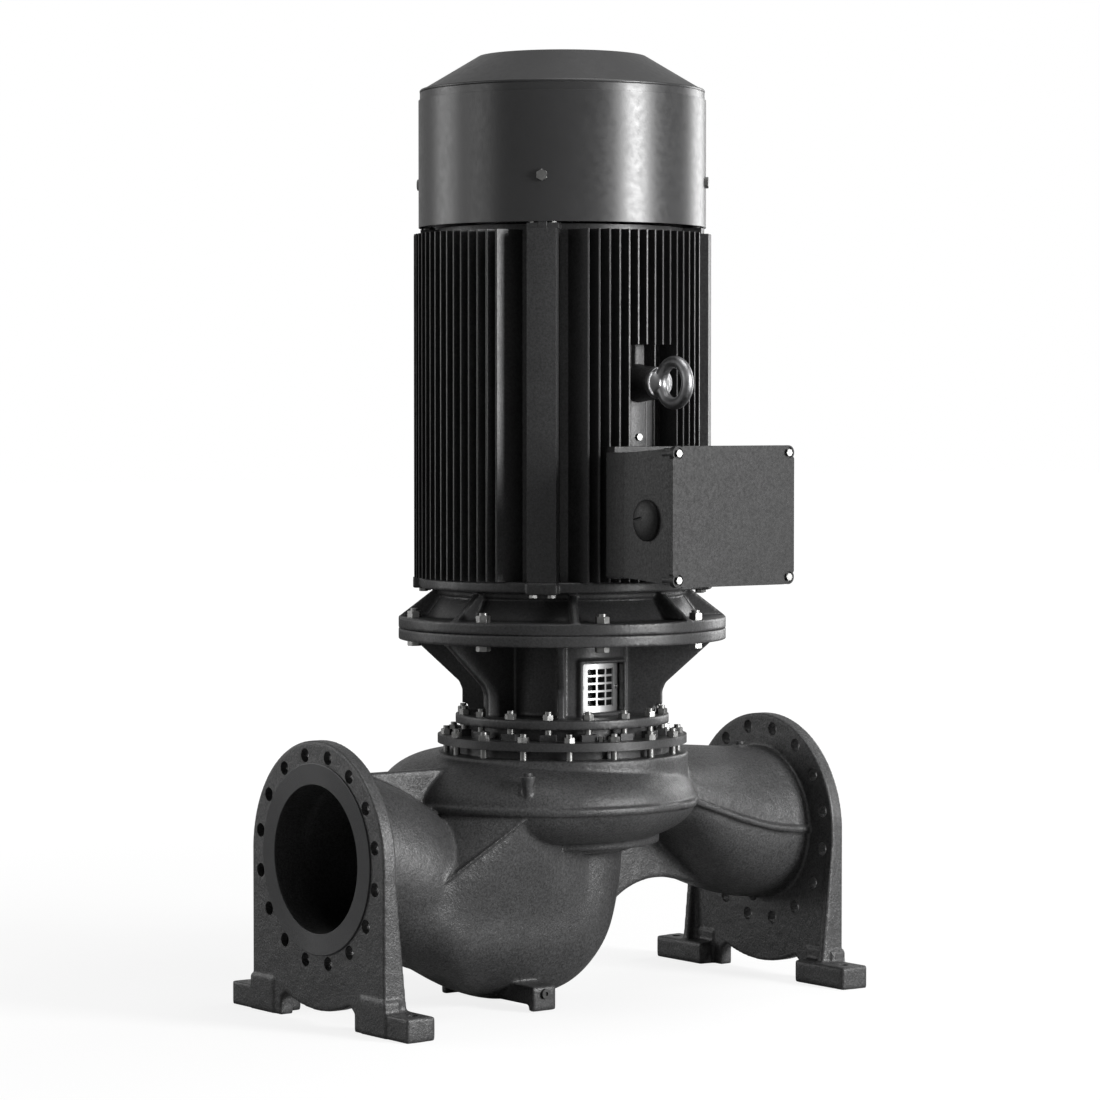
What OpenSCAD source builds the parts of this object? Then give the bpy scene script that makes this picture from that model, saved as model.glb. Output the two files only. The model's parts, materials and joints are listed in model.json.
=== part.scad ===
/* [Ports] */
// Distance from one port face to the other
port_to_port = 1400; // [1300:10:1500]
// Height of the port axis above the floor
port_height = 385; // [375:5:420]
// How far the shaft stands past midway, towards the discharge
shaft_shift = 25; // [0:5:40]
// Bore of both ports
port_bore = 350; // [320:5:360]
// Outer diameter of the port flanges
flange_od = 555; // [545:5:570]
// Bolt circle of the port flanges
flange_pcd = 490; // [480:2:500]
// Number of bolt holes in each port flange
flange_holes = 16; // [12:4:20]
// Diameter of the port bolt holes
flange_hole = 33; // [26:1:36]
// Thickness of the port flange plates
flange_t = 36; // [30:1:42]
// Diameter of the raised sealing face
face_d = 450; // [430:5:456]
// Height of the raised sealing face
face_h = 4; // [2:1:5]

/* [Feet] */
// Length of each foot block across the pump
foot_l = 185; // [170:5:195]
// Width of each foot block along the pump
foot_w = 80; // [70:2:90]
// Height of each foot block
foot_h = 56; // [40:2:64]
// Overall spread of the feet across the pump
foot_span = 740; // [720:5:760]
// Foundation bolt hole
foot_hole = 24; // [18:1:28]
// Foundation bolts from the centre line, across the pump
foot_hole_y = 330; // [315:5:335]
// Radius of the belly under each port flange
belly_r = 355; // [350:1:362]

/* [Casing] */
// Wall of the cast casing
wall = 18; // [14:1:22]
// Outer radius of the volute where it is smallest
volute_r = 332; // [325:1:340]
// Growth of the volute in each quarter turn
volute_growth = 65; // [55:1:70]
// Height of the volute centre above the port axis
volute_z = 103; // [95:1:110]
// Half height of the volute above its centre
volute_up = 109; // [104:1:112]
// Half height of the volute below its centre
volute_down = 90; // [84:1:94]
// Radius of the drum that carries the cover
drum_r = 308; // [304:1:312]
// Height of the drum top above the port axis
drum_z = 217; // [214:1:219]
// Thickness of the cast web between neck and volute
web_t = 26; // [18:1:34]
// Height of the web top above the port axis
web_z = 194; // [180:1:200]
// Length of the middle foot across the pump
mid_foot_l = 380; // [360:5:400]
// Width of the middle foot
mid_foot_w = 70; // [60:2:80]

/* [Cover] */
// Outer radius of the cover flange
cover_r = 305; // [300:1:308]
// Thickness of the cover flange
cover_t = 20; // [16:1:24]
// Gap between the drum top and the cover flange
cover_gap = 22; // [18:1:26]
// Circle of the cover studs, radius
cover_stud_r = 283; // [280:1:286]
// Number of cover studs
cover_studs_n = 16; // [12:4:20]
// Radius of the cover spigot in the casing
spigot_r = 262; // [256:1:264]

/* [Motor stool] */
// Outer radius of the lower stool flange
stool_r = 261; // [258:1:266]
// Thickness of the lower stool flange
stool_t = 23; // [20:1:26]
// Circle of the stool studs, radius
stool_stud_r = 245; // [243:1:247]
// Outer radius of the stool tube
tube_r = 160; // [155:1:165]
// Wall of the stool tube
tube_wall = 14; // [10:1:18]
// Thickness of the stool ribs
rib_t = 18; // [14:1:20]
// Width of the stool windows
window_w = 134; // [110:2:140]
// Height of the stool windows
window_h = 118; // [100:2:126]
// Height of the motor seat above the lower stool flange
stool_h = 233; // [225:1:245]

/* [Motor] */
// Outer radius of the motor flange
motor_flange_r = 400; // [390:1:410]
// Circle of the motor flange bolts, radius
motor_pcd_r = 370; // [365:1:375]
// Radius of the motor spigot
motor_spigot_r = 340; // [330:1:345]
// Thickness of each of the two joined flanges
joint_t = 28; // [24:1:32]
// Height of the drive endshield above its flange
shield_h = 95; // [90:1:100]
// Outer radius of the motor frame tube
frame_r = 300; // [296:1:306]
// Radius of the circle through the fin tips
fin_tip_r = 364; // [358:1:370]
// Spacing of the fins
fin_pitch = 24; // [20:1:30]
// Fins each side of the middle one
fin_half = 7; // [5:1:7]
// Thickness of a fin
fin_t = 4; // [3:0.5:6]
// Length of the finned frame
frame_l = 832; // [780:4:880]
// Width of the corner bars of the frame
bar_w = 70; // [60:2:80]
// Outer radius of the fan cowl
cowl_r = 350; // [345:1:355]
// Length of the plain part of the cowl
cowl_l = 308; // [280:4:340]
// Height of the sloping cowl top
cowl_top_h = 107; // [90:1:120]

/* [Terminal box] */
// Width of the terminal box lid
box_w = 364; // [330:2:380]
// Height of the terminal box lid
box_h = 324; // [290:2:340]
// Depth of the terminal box without its lid
box_d = 185; // [160:5:200]
// Distance of the lid face from the shaft
lid_y = 655; // [650:1:670]
// Thickness of the lid
lid_t = 14; // [10:1:20]

/* [Rotating parts] */
// Outer radius of the impeller
impeller_r = 240; // [230:1:244]
// Number of impeller blades
blades = 6; // [5:1:7]
// Radius of the impeller eye
eye_r = 112; // [105:1:116]
// Pump shaft radius at the coupling
pump_shaft_r = 37.5; // [32:0.5:42]
// Motor shaft radius at the coupling
motor_shaft_r = 47.5; // [42:0.5:52]
// Outer radius of the coupling
coupling_r = 88; // [80:1:96]

/* [Hidden] */

$fn = 96;
black = [0.16, 0.16, 0.17];
dark = [0.22, 0.22, 0.23];
zinc = [0.75, 0.76, 0.78];
steel = [0.62, 0.63, 0.65];
copper = [0.72, 0.42, 0.25];
brass = [0.78, 0.64, 0.35];
rubber = [0.08, 0.08, 0.08];
bite = 1;
thread_slip = 0.1;

// Levels above the port axis, along the shaft
cover_z = drum_z + cover_gap;
cover_top = cover_z + cover_t;
hub_h = 28;
stool_z = cover_top + hub_h;
stool_top = stool_z + stool_t;
seat_z = stool_z + stool_h;
shield_flange_top = seat_z + joint_t;
frame_z = shield_flange_top + shield_h;
frame_top = frame_z + frame_l;
cowl_z = frame_top + 17;
cowl_seam = cowl_z + cowl_l;
cowl_top = cowl_seam + cowl_top_h;

// Port flanges and feet
port_r = port_bore / 2;
flange_r = flange_od / 2;
port_x = port_to_port / 2;
plate_x = port_x - face_h;
arch_z = -331;
arch_fillet = 30;
foot_in = foot_span / 2 - foot_l;
foot_hole_x = plate_x - 43;
wing_t = 20;
wing_reach = 30;
drill_step = 0.2;
ledge_w = 100;
ledge_h = 28;
ledge_proud = 4;

// Fasteners
stud_r = 8;
stud_af = 24;
stud_nut_h = 13;
motor_bolt_r = 10;
motor_bolt_af = 30;
motor_head_h = 13;
motor_nut_h = 16;
screw_r = 6;
screw_af = 19;
screw_head_h = 8;
cowl_screw_af = 24;
cowl_screw_l = 26;

// Stool ribs
stool_turn = 4;
rib_spread = 42;
rib_angles = [for (a = [-90, 90], k = [-1, 1, 2]) a + stool_turn + (k == 2 ? 90 : k * rib_spread)];
rib_foot_r = 246;
rib_knee_z = stool_top + 70;
rib_top_r = 372;
window_z = stool_top + 10;
hub_r = 215;

// Drive endshield
shield_ribs = 8;
shield_rib_turn = 12.5;
shield_rib_t = 16;
shield_ring_r = fin_tip_r - 18;
ear_r = fin_tip_r + 2;
ear_h = 29;

// Bearings
drive_bearing_r = 120;
drive_bearing_in = 55;
drive_bearing_w = 50;
drive_bearing_z = shield_flange_top + 14;
fan_bearing_r = 100;
fan_bearing_in = 47.5;
fan_bearing_w = 45;
fan_bearing_z = frame_top - 38;
ball_gap = 0.3;
ball_share = 0.24;
race_share = 0.62;
cage_t = 5;

// Rotor and stator
core_low = 120;
core_high = 142;
core_z = frame_z + core_low;
core_l = frame_l - core_low - core_high;
frame_wall = 16;
stator_r = frame_r - frame_wall;
stator_depth = 71;
rotor_r = stator_r - stator_depth;
air_gap = 2;
core_shaft_r = 62;
winding_h = 85;
ring_h = 32;
end_ring_deep = 75;
vanes = 12;
vane_l = 44;
vane_t = 6;
vane_h = 24;

// Coupling and pump shaft
coupling_z = stool_top - 8;
coupling_l = 160;
shaft_gap = 6;
motor_shaft_end = coupling_z + 66;
pump_shaft_end = motor_shaft_end - shaft_gap;
half_gap = 3;
coupling_screw_rows = 4;

// Impeller and its chamber
disc_z = volute_z + 28;
disc_t = 12;
outlet_h = 56;
skirt_r = eye_r + 12;
skirt_z = 12;
ring_wall = 12;
spigot_z = 152;
chamber_z = 34;
chamber_step = 12;
impeller_bore_r = 28;
hub_top = disc_z + disc_t;

// Fan
fan_z = cowl_z + 38;
fan_r = 300;
fan_h = 78;
fan_blades = 12;
fan_shaft_r = 40;
fan_hub_r = 70;
shaft_top = fan_z + 96;
cowl_t = 3;

// Terminal box and lifting eyes
box_z = frame_z + box_h / 2;
box_back_y = lid_y - lid_t - box_d;
pad_w = 250;
pad_low = 10;
pad_sink = 40;
eye_up = 146;
eye_z = box_z + box_h / 2 + eye_up;
eye_boss_r = 38;
eye_boss_y = fin_tip_r + 4;
eye_ring_r = 49;
eye_wire_r = 14.5;
eye_floor = 3;
eye_stem = eye_boss_y - frame_r - eye_floor;

// Casing castings
volute_half = 150;
rim_power = 1.85;
rim_points = 8;
bead_h = 18;
bead_out = 7;
bead_in = 40;
bead_deep = 26;
arch_half = 154.5;
belly_half = 150;
web_in = 230;
web_foot_z = 60;
neck_web = [[-140, 30], [-224, -30], [-331, -90], [-420, 0], [-560, 90]];
nozzle_web = [[150, 40], [230, 60], [640, -60], [640, -190], [332, -120], [150, -150]];
web_arch_x = 290;
web_arch_z = -338;
web_arch_r = 221;
nozzle_bead = [
    [60, -345, 103], [140, -325, 102], [200, -270, 100], [250, -215, 92], [330, -202, 66],
    [420, -200, 36], [520, -196, 10], [600, -193, 0], [664, -192, -2]
];
nozzle_bead_h = 16;
belly_disc_r = 238;
belly_disc_z = -5;
eye_disc_r = 171;
eye_disc_z = -22;
disc_rise = 60;
mid_foot_x = -171;
mid_foot_low = 17;
mid_foot_gap = 2;
mid_foot_end = 22;
mid_foot_h = 45;
mid_end_h = 60;
mid_stem_in = 10;
mid_stem_l = 140;
mid_stem_h = 100;
ring_seat_z = 4;
ring_up = 6;

// Clearances between pieces that fit together
seat_slip = 0.1;
run_gap = 0.4;
vent_slip = 0.05;
key_slip = 0.1;

// Plugs and the vent screw
nozzle_plug = [567, 0, 203];
plug_boss_h = 40;
tap_turn = -139.5;
tap_r = 384;
tap_z = 190;
tap_top_r = 17;
tap_low_r = 6;
tap_h = 49;
drain_z = 44;
plug_r = 9;
plug_head = 7;
plug_socket = 9;
plug_l = 16;
vent_turn = -106.5;
vent_r = 262;
vent_screw_r = 5;
vent_l = 14;
vent_af = 14;
vent_head_h = 12;

// Cover and stool details
pocket_r = 205;
pocket_z = 178;
seal_boss_r = 95;
seal_chamber_r = 72;
seat_bore_r = 52;
seat_ledge_z = 262;
pad_depth = 24;
pad_l = 38;
pad_h = 16;
groove_r = 257;
groove_z = 190;
groove_h = 4.8;
stud_in = 30;
stud_end = 7;
stool_stud_z = cover_top + pad_h - 30;
window_rim = 9;
spigot_h = 7;
motor_bolts = 8;
spot_face_r = 16;
spot_face_h = 22;

// Guards in the windows
guard_r = tube_r - tube_wall - seat_slip;
guard_t = 2;
guard_half = 37;
guard_lap = 8;
guard_screw_l = 8;
guard_screw_r = 3;
guard_screw_turn = 22;
grille_w = 84;
grille_in = 12;
grille_rows = 5;
grille_bar = 5;

// Seal, keys and impeller details
shaft_seal_r = 35;
face_ring_h = 14;
collar_z = 176;
collar_h = 20;
seal_gap = 5;
bellows_folds = 5;
bellows_t = 1.5;
bellows_deep = 6;
nut_z = 60;
nut_af = 62;
nut_thread_r = 20;
hub_low = 88;
hub_wall_r = 48;
key_w = 14;
key_in = 7;
key_up = 6;
impeller_key_h = 12;
impeller_key_l = 36;
motor_key_h = 14;
motor_key_l = 70;
skirt_top = 42;
shroud_t = 9;
tip_gap = 5;
shroud_flat_r = 205;
blade_sink = 4;
blade_in = 20;
blade_side = 150;
blade_round = 180;
blade_t = 8;
coupling_seat = 40;
coupling_screw_x = 66;
cap_head_h = 12;
cap_socket = 10;

// Motor details
slots = 36;
slot_w = 12;
slot_deep = 20;
winding_in = 8;
winding_out = 56;
fin_gap_up = 97;
fin_gap_top = eye_z + fin_gap_up;
eye_shank_r = 18;
eye_collar_r = 37.5;
eye_collar_t = 14;
eye_neck_h = 16;
eye_lift = 67;
cable_hole = 120;
screw_l = 62;
ear_screw_r = fin_tip_r - 24;
fan_screw_r = fin_tip_r - 36;
ear_screw_t = 22;
ear_w = 76;
fan_plate_t = 14;
spring_top = 13;
shaft_hole_r = 56;
cone_low_r = motor_pcd_r - 40;
cone_top_r = frame_r - 8;
band_z = frame_z - 41;
band_h = 15;
cavity_r = frame_r - 30;
bearing_boss_r = 145;
cap_t = 10;
balls_n = 9;
lug_in_r = cowl_r - 28;
lug_w = 20;
lug_h = 160;
cowl_screw_z = cowl_z + 108;
circlip_t = 3;
circlip_gap = 14;
fan_disc_t = 6;
fan_blade_t = 5;
canopy_knee_r = 230;
canopy_top_r = 205;
intake_rings = 5;
intake_in = 50;
intake_pitch = 30;
intake_slot = 20;
intake_bar = 12;
earth_up = 18;
earth_z = box_z + box_h / 2 + earth_up;
earth_r = 5;
earth_af = 16;
earth_head_h = 6;

// Terminal box details
gasket_t = 3;
box_taper = 17;
box_step = 6;
box_wall = 9;
neck_w = 300;
neck_h = 290;
lid_screw_in = 17;
lid_recess = 3;
lid_screw_boss = 12;
lid_boss_h = 30;
lid_screw_r = 5;
lid_screw_l = 34;
lid_screw_af = 16;
lid_screw_head = 7;
lid_ear = 26;
board_w = 180;
board_h = 110;
board_t = 20;
board_down = 40;
terminal_up = 34;
terminal_r = 6;
terminal_pitch = 55;
entry_r = 48;
entry_h = 9;
entry_cap_h = 4;
entry_hole_r = 40;
entry_up = -10;
entry_slot = 8;

// Moves children to the shaft axis at the height of the ports
module on_shaft() {
    translate([shaft_shift, 0, port_height]) children();
}

// Copies children around the shaft axis at a radius
module around(count, radius, start = 0) {
    for (i = [0:count - 1])
        rotate(start + i * 360 / count)
            translate([radius, 0, 0]) children();
}

// Flat ring between two radii, from one level to another
module ring(r_in, r_out, z0, z1) {
    translate([0, 0, z0]) difference() {
        cylinder(r = r_out, h = z1 - z0);
        translate([0, 0, -bite]) cylinder(r = r_in, h = z1 - z0 + 2 * bite);
    }
}

// Hexagon bar by its width across the flats
module hex_bar(across, h) {
    cylinder(r = across / sqrt(3), h = h, $fn = 6);
}

// Nut with a washer face and a plain bore
module nut(across, h, bore) {
    difference() {
        intersection() {
            hex_bar(across, h);
            cylinder(r1 = across, r2 = across / 2 + 0.4, h = h);
        }
        translate([0, 0, -bite]) cylinder(r = bore, h = h + 2 * bite);
    }
}

// Hexagon screw pointing down, its head above zero
module hex_screw(across, head_h, r, length) {
    intersection() {
        hex_bar(across, head_h);
        cylinder(r1 = across, r2 = across / 2 + 0.4, h = head_h);
    }
    translate([0, 0, -length]) cylinder(r = r, h = length + head_h / 2);
}

// Plug screw with a hexagon socket, pointing down
module socket_plug(r, head_h, socket, length) {
    difference() {
        union() {
            cylinder(r = r * 1.35, h = head_h);
            translate([0, 0, -length]) cylinder(r = r, h = length + bite);
        }
        translate([0, 0, head_h * 0.3]) hex_bar(socket, head_h);
    }
}

// Rectangle with round corners, centred
module round_rect(w, h, r) {
    square([w - 2 * r, h], center = true);
    square([w, h - 2 * r], center = true);
    for (x = [-1, 1], y = [-1, 1])
        translate([x * (w / 2 - r), y * (h / 2 - r)]) circle(r);
}

// Value between stations on a smooth curve through them
function bend(p, i, t) = let (
    n = len(p) - 1,
    a = p[max(i - 1, 0)], b = p[i], c = p[min(i + 1, n)], d = p[min(i + 2, n)]
) b + 0.5 * t * ((c - a) + t * ((2 * a - 5 * b + 4 * c - d) + t * (3 * (b - c) + d - a)));

// Stations filled in with a number of steps between each pair
function fill(p, steps) = [
    for (i = [0:len(p) - 2], k = [0:steps - 1]) bend(p, i, k / steps),
    p[len(p) - 1]
];

// Point of a superellipse
function oval(a, b, n, t) = [
    a * sign(cos(t)) * pow(abs(cos(t)), 2 / n),
    b * sign(sin(t)) * pow(abs(sin(t)), 2 / n)
];

// Solid skinned over a list of rings with equal point counts
module skin(rings) {
    m = len(rings[0]);
    last = len(rings) - 1;
    sides = [for (i = [0:last - 1], j = [0:m - 1]) let (
        a = i * m + j, b = i * m + (j + 1) % m
    ) each [[a, a + m, b + m], [a, b + m, b]]];
    start = [for (j = [0:m - 1]) j];
    end = [for (j = [m - 1:-1:0]) last * m + j];
    polyhedron(points = [for (r = rings) each r], faces = concat([start], sides, [end]));
}

// Suction neck and sump stations: x, z, tilt, half height, half width, wall
neck = [
    [-690, 0, 0, 203, 203, 30],
    [-610, -12, -12, 198, 200, 26],
    [-510, -58, -26, 187, 196, 20],
    [-450, -95, -27, 168, 176, 18],
    [-405, -112, -27, 148, 124, 18],
    [-372, -128, -27, 118, 72, 18],
    [-345, -150, -27, 80, 36, 18]
];
sump = [
    [-610, -60, -12, 150, 175, 24],
    [-550, -105, -24, 130, 184, 20],
    [-480, -150, -27, 112, 190, 18],
    [-430, -190, -20, 95, 190, 18],
    [-390, -215, -10, 85, 180, 18]
];
neck_points = 28;

// Suction elbow stations: z, circle centre, circle radius, tip, tip radius
elbow = [
    [-378, -150, 35, -215, 20],
    [-357, -115, 84, -285, 50],
    [-325, -86, 114, -350, 90],
    [-275, -60, 136, -420, 140],
    [-230, -45, 149, -460, 178],
    [-180, -30, 152, -480, 186],
    [-130, -15, 149, -470, 176],
    [-108, -8, 148, -420, 100],
    [-85, -3, 147, -362, 40],
    [-60, 0, 147, -316, 20],
    [0, 0, 147, -224, 20],
    [40, 0, 147, -162, 20]
];
elbow_arc = 12;
elbow_flat = 5;
tip_inset = 2;
elbow_inside = [for (s = elbow) if (s[0] > -370) s + [s[0] < -350 ? wall : 0, 0, 0, 0, 0]];

// Discharge nozzle stations: x, y from, y to, z from, z to, power
nozzle = [
    [150, -190, 470, 15, 205, 2.4],
    [250, -196, 425, 8, 206, 2.6],
    [320, -197, 375, -55, 206, 2.6],
    [390, -196, 325, -112, 205, 2.5],
    [460, -194, 275, -155, 202, 2.3],
    [540, -192, 225, -182, 197, 2.1],
    [640, -192, 192, -192, 192, 2]
];
passage = [
    [110, 285, 455, 33, 187, 2.2],
    [250, 120, 408, 28, 188, 2.2],
    [320, -50, 357, -35, 188, 2.2],
    [390, -140, 307, -92, 187, 2.2],
    [460, -168, 257, -135, 184, 2.1],
    [540, -173, 207, -160, 179, 2],
    [645, -174, 174, -174, 174, 2]
];
nozzle_points = 32;
passage_points = 24;

// Ring of the suction neck at a station, drawn in by a share of the wall
function neck_ring(s, share) = let (
    in = share * s[5], up = [-sin(s[2]), 0, cos(s[2])]
) [for (j = [0:neck_points - 1]) let (
    p = oval(s[4] - in, s[3] - in, 2, j * 360 / neck_points)
) [s[0], p[0], s[1]] + p[1] * up];

// Ring of the suction elbow, a circle drawn out to a blunt tip on the web
function elbow_ring(s, inset) = let (
    r = s[2] - inset, w = max(s[4] - inset, 4), t = s[3] + tip_inset * inset,
    turn = acos(max(min((r - w) / (s[1] - t), 0.98), -0.98)),
    a = [s[1] - r * cos(turn), r * sin(turn)], b = [t - w * cos(turn), w * sin(turn)]
) concat(
    [for (j = [0:elbow_arc]) let (e = (180 - turn) * (2 * j / elbow_arc - 1))
        [s[1] + r * cos(e), r * sin(e), s[0]]],
    [for (j = [1:elbow_flat]) let (p = a + (b - a) * j / elbow_flat) [p[0], p[1], s[0]]],
    [for (j = [elbow_flat:-1:1]) let (p = a + (b - a) * j / elbow_flat) [p[0], -p[1], s[0]]]
);

// Ring of the discharge nozzle at a station
function nozzle_ring(s, n) = [for (j = [0:n - 1]) let (
    p = oval((s[2] - s[1]) / 2, (s[4] - s[3]) / 2, s[5], j * 360 / n)
) [s[0], (s[1] + s[2]) / 2 + p[0], (s[3] + s[4]) / 2 + p[1]]];

// Disc whose rim has the section of the volute
module volute_section(r, inset) {
    rim = volute_half - inset;
    up = volute_up - inset;
    down = volute_down - inset;
    top = [for (i = [0:rim_points]) oval(rim, up, rim_power, 90 - i * 90 / rim_points)];
    low = [for (i = [1:rim_points]) oval(rim, down, rim_power, -i * 90 / rim_points)];
    translate([0, volute_z])
        polygon(concat([[0, -down], [0, up]],
            [for (p = concat(top, low)) [r - volute_half + p[0], p[1]]]));
}

// Spiral volute drawn from four arcs, each a step wider
module volute(inset) {
    s = volute_growth / 2;
    arcs = [[-s, -s, -90, 90], [-s, s, -180, 90], [s, s, 90, 90], [s, -s, 72, 18]];
    for (i = [0:3]) {
        a = arcs[i];
        translate([a[0], a[1], 0]) rotate_extrude(angle = a[3], start = a[2])
            volute_section(volute_r + i * volute_growth, inset);
    }
    translate([0, 0, volute_z - volute_down + inset])
        cylinder(r = volute_r - 2 * volute_growth, h = volute_down + volute_up - 2 * inset);
}

// Parting bead of the casting around the volute
module volute_bead() {
    s = volute_growth / 2;
    arcs = [[-s, -s, -90, 90], [-s, s, -180, 90], [s, s, 90, 90]];
    for (i = [0:2]) {
        a = arcs[i];
        translate([a[0], a[1], volute_z - bead_h / 2])
            rotate_extrude(angle = a[3], start = a[2])
                translate([volute_r + i * volute_growth - bead_in, 0])
                    square([bead_in + bead_out, bead_h]);
    }
}

// Parting bead along the near side of the discharge nozzle
module nozzle_bead() {
    half = nozzle_bead_h / 2;
    skin([for (p = fill(nozzle_bead, 2)) [
        [p[0], p[1] + bead_deep, p[2] - half], [p[0], p[1] + bead_deep, p[2] + half],
        [p[0], p[1] - bead_out, p[2] + half], [p[0], p[1] - bead_out, p[2] - half]]]);
}

// Outline of a port plate on its legs, seen along the pipe
module plate_shape() {
    difference() {
        union() {
            circle(flange_r);
            translate([-flange_r, -port_height]) square([2 * flange_r, port_height]);
        }
        translate([-arch_half, -port_height - bite])
            square([2 * arch_half, port_height + arch_z + bite]);
        translate([-foot_in, -port_height - bite])
            square([2 * foot_in, port_height + arch_z - arch_fillet + bite]);
        for (y = [-arch_half, arch_half])
            translate([y, arch_z - arch_fillet]) circle(arch_fillet);
    }
    intersection() {
        circle(belly_r);
        translate([-belly_half, -belly_r]) square([2 * belly_half, belly_r]);
    }
}

// One port flange with its legs, feet and gussets, on the positive side
module port_end() {
    translate([plate_x - flange_t, 0, port_height]) rotate([90, 0, 90]) {
        linear_extrude(flange_t) plate_shape();
        cylinder(d = face_d, h = flange_t + face_h);
    }
    for (y = [0, 1]) mirror([0, y, 0]) {
        translate([plate_x - foot_w, foot_in, 0]) cube([foot_w, foot_l, foot_h]);
        translate([plate_x - foot_w / 2, foot_in, 0]) rotate([90, 0, 90])
            linear_extrude(foot_w / 2 + ledge_proud)
                polygon([[0, 0], [ledge_w, 0], [ledge_w, foot_h + ledge_h - ledge_proud],
                    [ledge_w - ledge_proud, foot_h + ledge_h], [0, foot_h + ledge_h]]);
        translate([0, flange_r, 0]) rotate([90, 0, 0]) linear_extrude(wing_t)
            polygon([[plate_x - flange_t + bite, port_height],
                [plate_x - flange_t - wing_reach, foot_h],
                [plate_x - flange_t - wing_reach, 0], [plate_x - flange_t + bite, 0]]);
    }
}

// Bore, bolt holes and foundation holes of one port
module port_holes(hole) {
    translate([plate_x - flange_t - 2 * bite, 0, port_height]) rotate([0, 90, 0]) {
        cylinder(r = port_r, h = flange_t + face_h + 4 * bite);
        around(flange_holes, flange_pcd / 2, 180 / flange_holes)
            cylinder(d = hole, h = flange_t + 3 * bite);
    }
    for (y = [-foot_hole_y, foot_hole_y])
        translate([foot_hole_x, y, -bite]) cylinder(d = foot_hole, h = foot_h + 2 * bite);
}

// Cast web on the centre line, above and below the neck
module casing_webs() {
    translate([0, web_t / 2, 0]) rotate([90, 0, 0]) linear_extrude(web_t) {
        polygon(concat([[-port_x, web_foot_z], [-port_x, web_z], [-web_in, web_z]], neck_web));
        difference() {
            polygon(nozzle_web);
            translate([web_arch_x, web_arch_z]) circle(web_arch_r);
        }
    }
}

// Middle foot under the suction elbow
module middle_foot() {
    translate([mid_foot_x - mid_foot_w / 2, 0, 0]) {
        translate([0, -mid_foot_l / 2, mid_foot_low]) cube([mid_foot_w, mid_foot_l, mid_foot_h]);
        for (y = [-mid_foot_l / 2, mid_foot_l / 2 - mid_foot_end])
            translate([0, y, mid_foot_gap]) cube([mid_foot_w, mid_foot_end, mid_end_h]);
        translate([mid_stem_in, -mid_stem_l / 2, mid_foot_low + mid_stem_in])
            cube([mid_foot_w - 2 * mid_stem_in, mid_stem_l, mid_stem_h]);
    }
}

// Outside of the casing around the shaft
module casing_body() {
    skin([for (s = fill(neck, 2)) neck_ring(s, 0)]);
    skin([for (s = fill(sump, 2)) neck_ring(s, 0)]);
    skin([for (s = fill(elbow, 2)) elbow_ring(s, 0)]);
    skin([for (s = fill(nozzle, 2)) nozzle_ring(s, nozzle_points)]);
    volute(0);
    volute_bead();
    nozzle_bead();
    translate([0, 0, volute_z]) cylinder(r = drum_r, h = drum_z - volute_z);
    translate([0, 0, belly_disc_z]) cylinder(r = belly_disc_r, h = disc_rise);
    translate([0, 0, eye_disc_z]) cylinder(r = eye_disc_r, h = disc_rise);
    casing_webs();
    rotate(tap_turn) translate([tap_r, 0, tap_z - tap_h])
        cylinder(r1 = tap_low_r, r2 = tap_top_r, h = tap_h);
    translate(nozzle_plug - [0, 0, plug_boss_h]) cylinder(r = tap_top_r, h = plug_boss_h);
}

// Water space of the casing and the seats turned in it
module casing_hollow() {
    skin([for (s = fill(neck, 1)) neck_ring(s, 1)]);
    skin([for (s = fill(sump, 1)) neck_ring(s, 1)]);
    skin([for (s = fill(elbow_inside, 1)) elbow_ring(s, wall)]);
    skin([for (s = fill(passage, 1)) nozzle_ring(s, passage_points)]);
    volute(wall);
    translate([0, 0, chamber_z]) cylinder(r = spigot_r - chamber_step, h = drum_z);
    translate([0, 0, spigot_z]) cylinder(r = spigot_r, h = drum_z);
    translate([0, 0, ring_seat_z]) cylinder(r = skirt_r + ring_wall, h = chamber_z);
    translate([0, 0, eye_disc_z - 8]) cylinder(r = eye_r + 8, h = disc_rise);
    around(cover_studs_n, cover_stud_r, 180 / cover_studs_n)
        translate([0, 0, drum_z - stud_in - 2])
            cylinder(r = stud_r + thread_slip, h = stud_in + 2 + bite);
    translate(nozzle_plug) plug_hole();
    rotate(tap_turn) translate([tap_r, 0, tap_z]) plug_hole();
}

// Blind tapped hole for a plug, pointing down
module plug_hole() {
    translate([0, 0, -plug_l - 2]) cylinder(r = plug_r + thread_slip, h = plug_l + 2 + bite);
}

module casing() {
    color(dark) difference() {
        union() {
            on_shaft() casing_body();
            port_end();
            mirror([1, 0, 0]) port_end();
            middle_foot();
        }
        on_shaft() casing_hollow();
        translate([mid_foot_x, -mid_foot_l / 2, drain_z]) rotate([90, 0, 0]) plug_hole();
        port_holes(flange_hole + drill_step);
        mirror([1, 0, 0]) port_holes(flange_hole);
    }
}

// Renewable ring around the impeller eye
module casing_wear_ring() {
    color(steel) on_shaft()
        ring(skirt_r + run_gap, skirt_r + ring_wall - seat_slip, ring_seat_z, chamber_z + ring_up);
}

// Threaded plugs of the nozzle, the tapping boss and the drain
module casing_plugs() {
    color(zinc) {
        on_shaft() {
            translate(nozzle_plug) socket_plug(plug_r, plug_head, plug_socket, plug_l);
            rotate(tap_turn) translate([tap_r, 0, tap_z])
                socket_plug(plug_r, plug_head, plug_socket, plug_l);
        }
        translate([mid_foot_x, -mid_foot_l / 2, drain_z]) rotate([90, 0, 0])
            socket_plug(plug_r, plug_head, plug_socket, plug_l);
    }
}

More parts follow.
